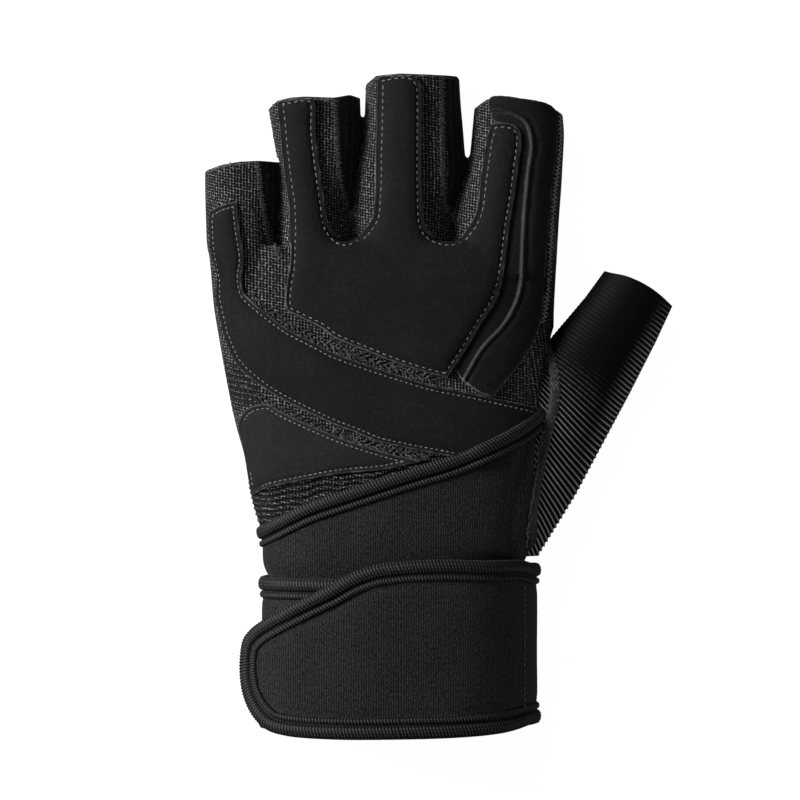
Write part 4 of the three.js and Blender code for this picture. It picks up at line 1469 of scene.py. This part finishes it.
def windingPoint(turn, off):
    angle = np.radians(turn)
    lift = np.interp(turn, windingTurn, windingLift) * strapForm["pitch"]
    x = strapForm["middle"] + (strapForm["halfX"] + lift + off) * bulge(np.cos(angle), 2.5)
    z = strapForm["level"] + (strapForm["halfZ"] + lift + off) * bulge(np.sin(angle), 2.5)
    return x, z


middleX, middleZ = windingPoint(windingTurn, strapForm["inner"] + strapForm["thick"] / 2)
steps = np.hypot(np.diff(middleX), np.diff(middleZ))
windingRun = np.concatenate([[0], np.cumsum(steps)])


def stripPlace(run, y, off):
    turn = np.interp(run, windingRun, windingTurn)
    x, z = windingPoint(turn, off)
    return np.stack([x, y + 0 * x, np.maximum(z, 0.02)], axis=-1)


def runOfPlan(x):
    # the run on the outer layer of the palm side that stands at x
    front = windingTurn > strapForm["underFrom"]
    outX, _ = windingPoint(windingTurn[front], strapForm["inner"] + strapForm["thick"])
    order = np.argsort(outX)
    return np.interp(x, outX[order], windingRun[front][order])


def makeStrap():
    edge = onPlan(strapForm["top"])
    edge = splineRun(np.stack([runOfPlan(edge[:, 0]), edge[:, 1]], 1), 0.8)
    hidden = strapRows[strapRows[:, 0] < strapForm["underFrom"]]
    runs = np.interp(hidden[:, 0], windingTurn, windingRun)
    topRow = np.stack([runs, hidden[:, 1]], 1)
    lowRow = np.stack([runs, hidden[:, 2]], 1)[::-1]
    upper = splineRun(np.vstack([topRow, edge[:2]]), 2.0)[:-2]
    lower = splineRun(np.vstack([edge[-2:], lowRow]), 2.0)[2:]
    outline = np.vstack([upper, edge, lower])
    plan, tris = gridOver(outline, 1.4)
    near = signedDistance(plan, outline)
    table, tris = compact(np.hstack([plan, near[:, None]]), tris[(near[tris] > -3).any(1)])
    table, tris = keepAbove(table, tris, table[:, 2] - 0.9)
    run, y, depth = table[:, 0], table[:, 1], table[:, 2]
    crease = strapForm["crease"]
    dent = crease["depth"] * np.exp(-(((depth - crease["inset"]) / crease["half"]) ** 2))
    sag = np.array([noise.noise(Vector((r * 0.05, v * 0.05, 1.0))) for r, v in table[:, :2].tolist()])
    outer = stripPlace(run, y, strapForm["inner"] + strapForm["thick"] - dent + strapForm["sag"] * sag)
    inner = stripPlace(run, y, strapForm["inner"])
    if normalsOf(outer, tris)[:, 2][outer[:, 2] > 40].mean() < 0:
        tris = tris[:, ::-1]
    both, faces = closedShell(outer, inner, tris)
    weave = np.stack([run, y, depth], 1)
    piece = addPiece(
        "neoprene_strap", both, faces, "wrist_strap", finishes["neoprene"],
        {"weave": np.vstack([weave, weave])},
    )
    return outline, piece


strapOutline, strapPiece = makeStrap()
print(f"neoprene_strap: {windingRun[-1]:.0f} mm long")


def strapBindingFrames(outline):
    path, tangent, run = evenly(outline, bindingForm["ribPitch"] / 5)
    area = (path[:, 0] * np.roll(path[:, 1], -1) - np.roll(path[:, 0], -1) * path[:, 1]).sum()
    tangent = blurred(tangent, 21)
    tangent /= np.linalg.norm(tangent, axis=1)[:, None]
    side = np.stack([-tangent[:, 1], tangent[:, 0]], 1) * (1 if area > 0 else -1)

    def place(wide, high):
        at = path[:, None, :] + side[:, None, :] * wide[..., None]
        return stripPlace(at[..., 0], at[..., 1], strapForm["inner"] + strapForm["thick"] - 0.35 + high)

    return {"run": run, "place": place, "closed": False}


# on the strap the tape also closes round the edge
strapSection = bindingSection.copy()
strapSection[[0, 15, 16, 17], 1] = [-2.4, -0.6, -0.7, -2.6]
strapSection[0, 0] = 0.4
strapSection[1] = (-0.5, -1.7, 0.7)
strapSection[2] = (-0.75, -0.4, 1.0)
strapSection[3] = (-0.45, 0.6, 1.0)
bindingStrip("strap_edge_tape", strapBindingFrames(strapOutline), strapSection, "strap_binding")
print("strap made")


# Threads: overlocked edges, drawn-in knit between the pads, loose ends and the thumb's seam
def onSurface(x, y, trees):
    # the highest of several surfaces under a plan point
    best, normal = None, None
    for tree in trees:
        hit, facing = dropRay(x, y, tree)
        if hit is not None and (best is None or hit.z > best.z):
            best, normal = hit, facing
    return best, normal


def threadRow(name, rows, settings, trees=(bodyTree,)):
    # dashes across or along a plan path, turned by each of the given angles in turn
    path, tangent, _ = evenly(splineRun(onPlan(rows), 0.5), settings["pitch"])
    spots, along, up = [], [], []
    for number, ((x, y), (tx, ty)) in enumerate(zip(path.tolist(), tangent.tolist())):
        angles, shifts = settings["angles"], settings["shifts"]
        turn = math.radians(angles[number % len(angles)] + rng.normal(0, settings["unrest"] * 20))
        shift = shifts[number % len(shifts)] + rng.normal(0, settings["unrest"] * 0.3)
        x, y = x - ty * shift, y + tx * shift
        dx = tx * math.cos(turn) - ty * math.sin(turn)
        dy = tx * math.sin(turn) + ty * math.cos(turn)
        hit, normal = onSurface(x, y, trees)
        ahead, _ = onSurface(x + dx * 0.5, y + dy * 0.5, trees)
        if hit is None or ahead is None or normal.z < 0.05:
            continue
        step = ahead - hit
        step.z = max(-0.6, min(0.6, step.z))
        spots.append(tuple(hit))
        along.append(tuple(step.normalized()))
        up.append(tuple(normal))
    spots, along, up = np.array(spots), np.array(along), np.array(up)
    lengths = settings["length"] * (1 + rng.normal(0, settings["unrest"], len(spots)))
    sizes = settings["radius"] * (1 + rng.normal(0, settings["unrest"] * 0.6, len(spots)))
    points, faces = dashes(spots + up * settings["rise"], along, up, lengths, np.abs(sizes))
    return addPiece(name, points, faces, None, finishes[settings["finish"]])


drawnKnit = {
    "pitch": 0.55, "angles": (30, -24, 38, -34), "shifts": (0.9, -0.8, 0.1, -0.2), "length": 1.9,
    "radius": 0.26, "rise": 0.3, "unrest": 0.38, "finish": "darkThread",
}
threadRow(
    "drawn_knit_upper",
    [
        (252, 298), (268, 311), (287, 322), (305, 333), (330, 345), (352, 354), (380, 364), (412, 374),
        (440, 382),
    ],
    drawnKnit,
)
threadRow(
    "drawn_knit_lower",
    [(240, 384), (262, 399), (284, 410), (310, 423), (340, 436), (372, 446), (400, 452), (430, 458)],
    drawnKnit,
)
drawnFluff = {
    "pitch": 0.62, "angles": (30, -45, 65, -20), "shifts": (0.5, -0.9, 1.0, -0.2), "length": 1.5,
    "radius": 0.12, "rise": 0.95, "unrest": 0.5, "finish": "fuzz",
}
fluffRows = {
    "knit_fluff_upper": [(318, 340), (335, 347), (352, 354), (372, 361), (400, 370), (430, 379)],
    "knit_fluff_lower": [(330, 432), (352, 440), (378, 447), (400, 452), (425, 457)],
}
for fluffName, rows in fluffRows.items():
    threadRow(fluffName, rows, drawnFluff)
lattice = {
    "pitch": 0.62, "angles": (55, -55), "shifts": (0.0, 0.0), "length": 2.5, "radius": 0.22,
    "rise": 0.85, "unrest": 0.2, "finish": "thread",
}
threadRow(
    "index_side_seam",
    [(558, 114), (558, 146), (554, 180), (551, 210), (548, 250), (546, 290), (541, 322)],
    lattice,
)
overlock = {
    "pitch": 0.66, "angles": (76, 84), "shifts": (0.0, 0.3), "length": 2.0, "radius": 0.17,
    "rise": 0.35, "unrest": 0.18, "finish": "fuzz",
}
fingerSeams = {
    "pinky_seam": [(257, 164), (259, 185), (263, 210), (268, 240), (273, 248)],
    "ring_seam": [(334, 100), (336, 146), (340, 181), (348, 213)],
    "middle_seam": [(442, 77), (441, 130), (442, 180), (445, 213)],
}
for seamName, rows in fingerSeams.items():
    threadRow(seamName, rows, overlock)


looseForm = {"count": 26, "spread": 1.5, "length": (1.2, 3.0), "radius": 0.11}


def looseEnds(name, place):
    # a tuft of threads where two fingers part
    middle = onPlan([place])[0]
    spots, along = [], []
    for _ in range(looseForm["count"]):
        turn = rng.uniform(0, 2 * math.pi)
        far = abs(rng.normal(0, looseForm["spread"]))
        x = middle[0] + math.cos(turn) * far * 0.6
        y = middle[1] + math.sin(turn) * far
        hit, _ = onSurface(x, y, (bodyTree,))
        if hit is None:
            continue
        spots.append((x, y, hit.z + rng.uniform(0.4, 1.6)))
        along.append((rng.normal(0, 0.6), rng.normal(0.3, 0.6), rng.normal(0.2, 0.4)))
    along = np.array(along)
    along /= np.linalg.norm(along, axis=1)[:, None]
    up = np.tile([0.0, 0.0, 1.0], (len(spots), 1))
    lengths = rng.uniform(*looseForm["length"], len(spots))
    points, faces = dashes(np.array(spots), along, up, lengths, looseForm["radius"])
    return addPiece(name, points, faces, None, finishes["fuzz"])


tipHem = {
    "pitch": 0.5, "angles": (8, -10), "shifts": (0.0, 0.25), "length": 1.0, "radius": 0.13,
    "rise": 0.2, "unrest": 0.3, "finish": "fuzz",
}
tipHemRows = {
    "pinky": [(208, 173), (222, 168), (240, 165), (258, 164)],
    "ring": [(268, 111), (276, 104), (290, 101), (304, 100), (330, 101)],
    "middle": [(366, 88), (377, 79), (400, 77), (430, 77), (456, 79)],
    "index": [(476, 110), (486, 103), (497, 101), (523, 102), (548, 108)],
}
for finger, rows in tipHemRows.items():
    threadRow(f"tip_hem_{finger}", rows, tipHem, (bodyTree, pads["palm_pad"]["tree"]))

for number, place in enumerate([(352, 215), (452, 215), (276, 249)]):
    looseEnds(f"loose_ends_{number + 1}", place)


def seamBand(name, rows, halfWidth, height, finish):
    # a soft band over the seam where the thumb sleeve meets the hand
    path, tangent, _ = evenly(splineRun(onPlan(rows), 0.5), 0.45)
    level = np.array([onSurface(x, y, (bodyTree, thumbTree))[0].z for x, y in path.tolist()])
    level = blurred(level, 15)
    profile = np.linspace(0, 2 * math.pi, 14, endpoint=False)
    rings = []
    for i, ((x, y), (tx, ty)) in enumerate(zip(path.tolist(), tangent.tolist())):
        ends = math.sin(math.pi * min(1, max(0.02, min(i, len(path) - 1 - i) / 8)) / 2)
        ring = []
        for turn in profile:
            lump = noise.noise(Vector((x * 0.7, y * 0.7, turn * 1.5))) * 0.35
            wide = (halfWidth * ends + lump) * math.cos(turn)
            high = (height * ends + lump) * math.sin(turn)
            ring.append((x - ty * wide, y + tx * wide, level[i] + high))
        rings.append(ring)
    count = len(profile)
    tris = np.vstack([tubeTris(len(rings), count), endCaps(len(rings), count)])
    return addPiece(name, np.array(rings).reshape(-1, 3), tris, None, finish)


thumbSeam = [
    (548, 345), (552, 362), (555, 382), (554, 400), (550, 420), (545, 440), (540, 464), (535, 490),
    (531, 517), (528, 546),
]
seamBand("thumb_seam_band", thumbSeam, 1.5, 0.7, finishes["darkThread"])
bandFluff = {
    "pitch": 0.22, "angles": (20, -25, 60, -8, -70, 12), "shifts": (-1.1, -0.9, 0.3, -1.3, 0.9, -1.0),
    "length": 0.9, "radius": 0.1, "rise": 0.7, "unrest": 0.5, "finish": "fuzz",
}
threadRow("thumb_seam_fluff", thumbSeam, bandFluff, (bodyTree, thumbTree))

# The strap's own seam near its fold on the thumb's side
seamRun = float(runOfPlan(onPlan([(523, 640)])[0, 0]))
seamY = np.arange(11.0, 47.5, 1.75)
seamLift = strapForm["inner"] + strapForm["thick"] + 0.2
spots = stripPlace(np.full(len(seamY), seamRun), seamY, seamLift)
ahead = stripPlace(np.full(len(seamY), seamRun + 0.3), seamY, seamLift)
across = (ahead - spots) / np.linalg.norm(ahead - spots, axis=1)[:, None]
along = np.tile([0.0, 1.0, 0.0], (len(seamY), 1))
points, faces = dashes(spots, along, np.cross(across, along), 1.2, 0.2)
addPiece("strap_seam_stitches", points, faces, None, finishes["fuzz"])
print("threads made")


# Camera, floor and light
viewForm = {"middle": (-11.1, 102), "level": 0.02, "height": 2.4, "lens": 360, "sensor": 36}
viewX, viewY = (float(v) * 0.001 for v in handOrigin[:2] + viewForm["middle"])
cameraData = bpy.data.cameras.new("camera")
cameraData.lens = viewForm["lens"]
cameraData.sensor_width = viewForm["sensor"]
cameraData.clip_end = 20
camera = bpy.data.objects.new("camera", cameraData)
camera.location = (viewX, viewY, viewForm["level"] + viewForm["height"])
bpy.context.scene.collection.objects.link(camera)
bpy.context.scene.camera = camera

floorMesh = bpy.data.meshes.new("floor")
floorHalf = 3.0
floorCorners = [(x * floorHalf, y * floorHalf, 0) for x, y in ((-1, -1), (1, -1), (1, 1), (-1, 1))]
floorMesh.from_pydata(floorCorners, [], [(0, 1, 2, 3)])
floor = bpy.data.objects.new("floor", floorMesh)
bpy.context.scene.collection.objects.link(floor)
floorItem, _, floorShader = newMaterial("floor")
floorShader.inputs["Base Color"].default_value = (0.2, 0.2, 0.2, 1)
floorShader.inputs["Roughness"].default_value = 0.9
floorShader.inputs["Specular IOR Level"].default_value = 0.0
floorShader.inputs["Emission Color"].default_value = (1, 1, 1, 1)
floorShader.inputs["Emission Strength"].default_value = 0.98
floorMesh.materials.append(floorItem)
floor.visible_diffuse = False  # its glow must not light the glove from below
floor.visible_glossy = False

lights = [
    # place and size in metres, power in watts
    {"name": "left window", "place": (-1.2, 0.5, 0.68), "size": 0.55, "power": 21.5},
    {"name": "top fill", "place": (-0.4, 0.9, 1.6), "size": 1.2, "power": 1.5},
    {"name": "right rim", "place": (1.35, -0.45, 0.3), "size": 0.5, "power": 2.4},
]
for spec in lights:
    lamp = bpy.data.lights.new(spec["name"], "AREA")
    lamp.shape = "SQUARE"
    lamp.size = spec["size"]
    lamp.energy = spec["power"]
    item = bpy.data.objects.new(spec["name"], lamp)
    item.location = spec["place"]
    aim = Vector((0, 0, 0.02)) - item.location
    item.rotation_euler = aim.to_track_quat("-Z", "Y").to_euler()
    bpy.context.scene.collection.objects.link(item)
world = bpy.data.worlds.new("studio")
world.use_nodes = True
world.node_tree.nodes["Background"].inputs["Color"].default_value = (1, 1, 1, 1)
world.node_tree.nodes["Background"].inputs["Strength"].default_value = 0.05
bpy.context.scene.world = world
bpy.context.scene.view_settings.view_transform = "Standard"
print("camera, floor and lights made")
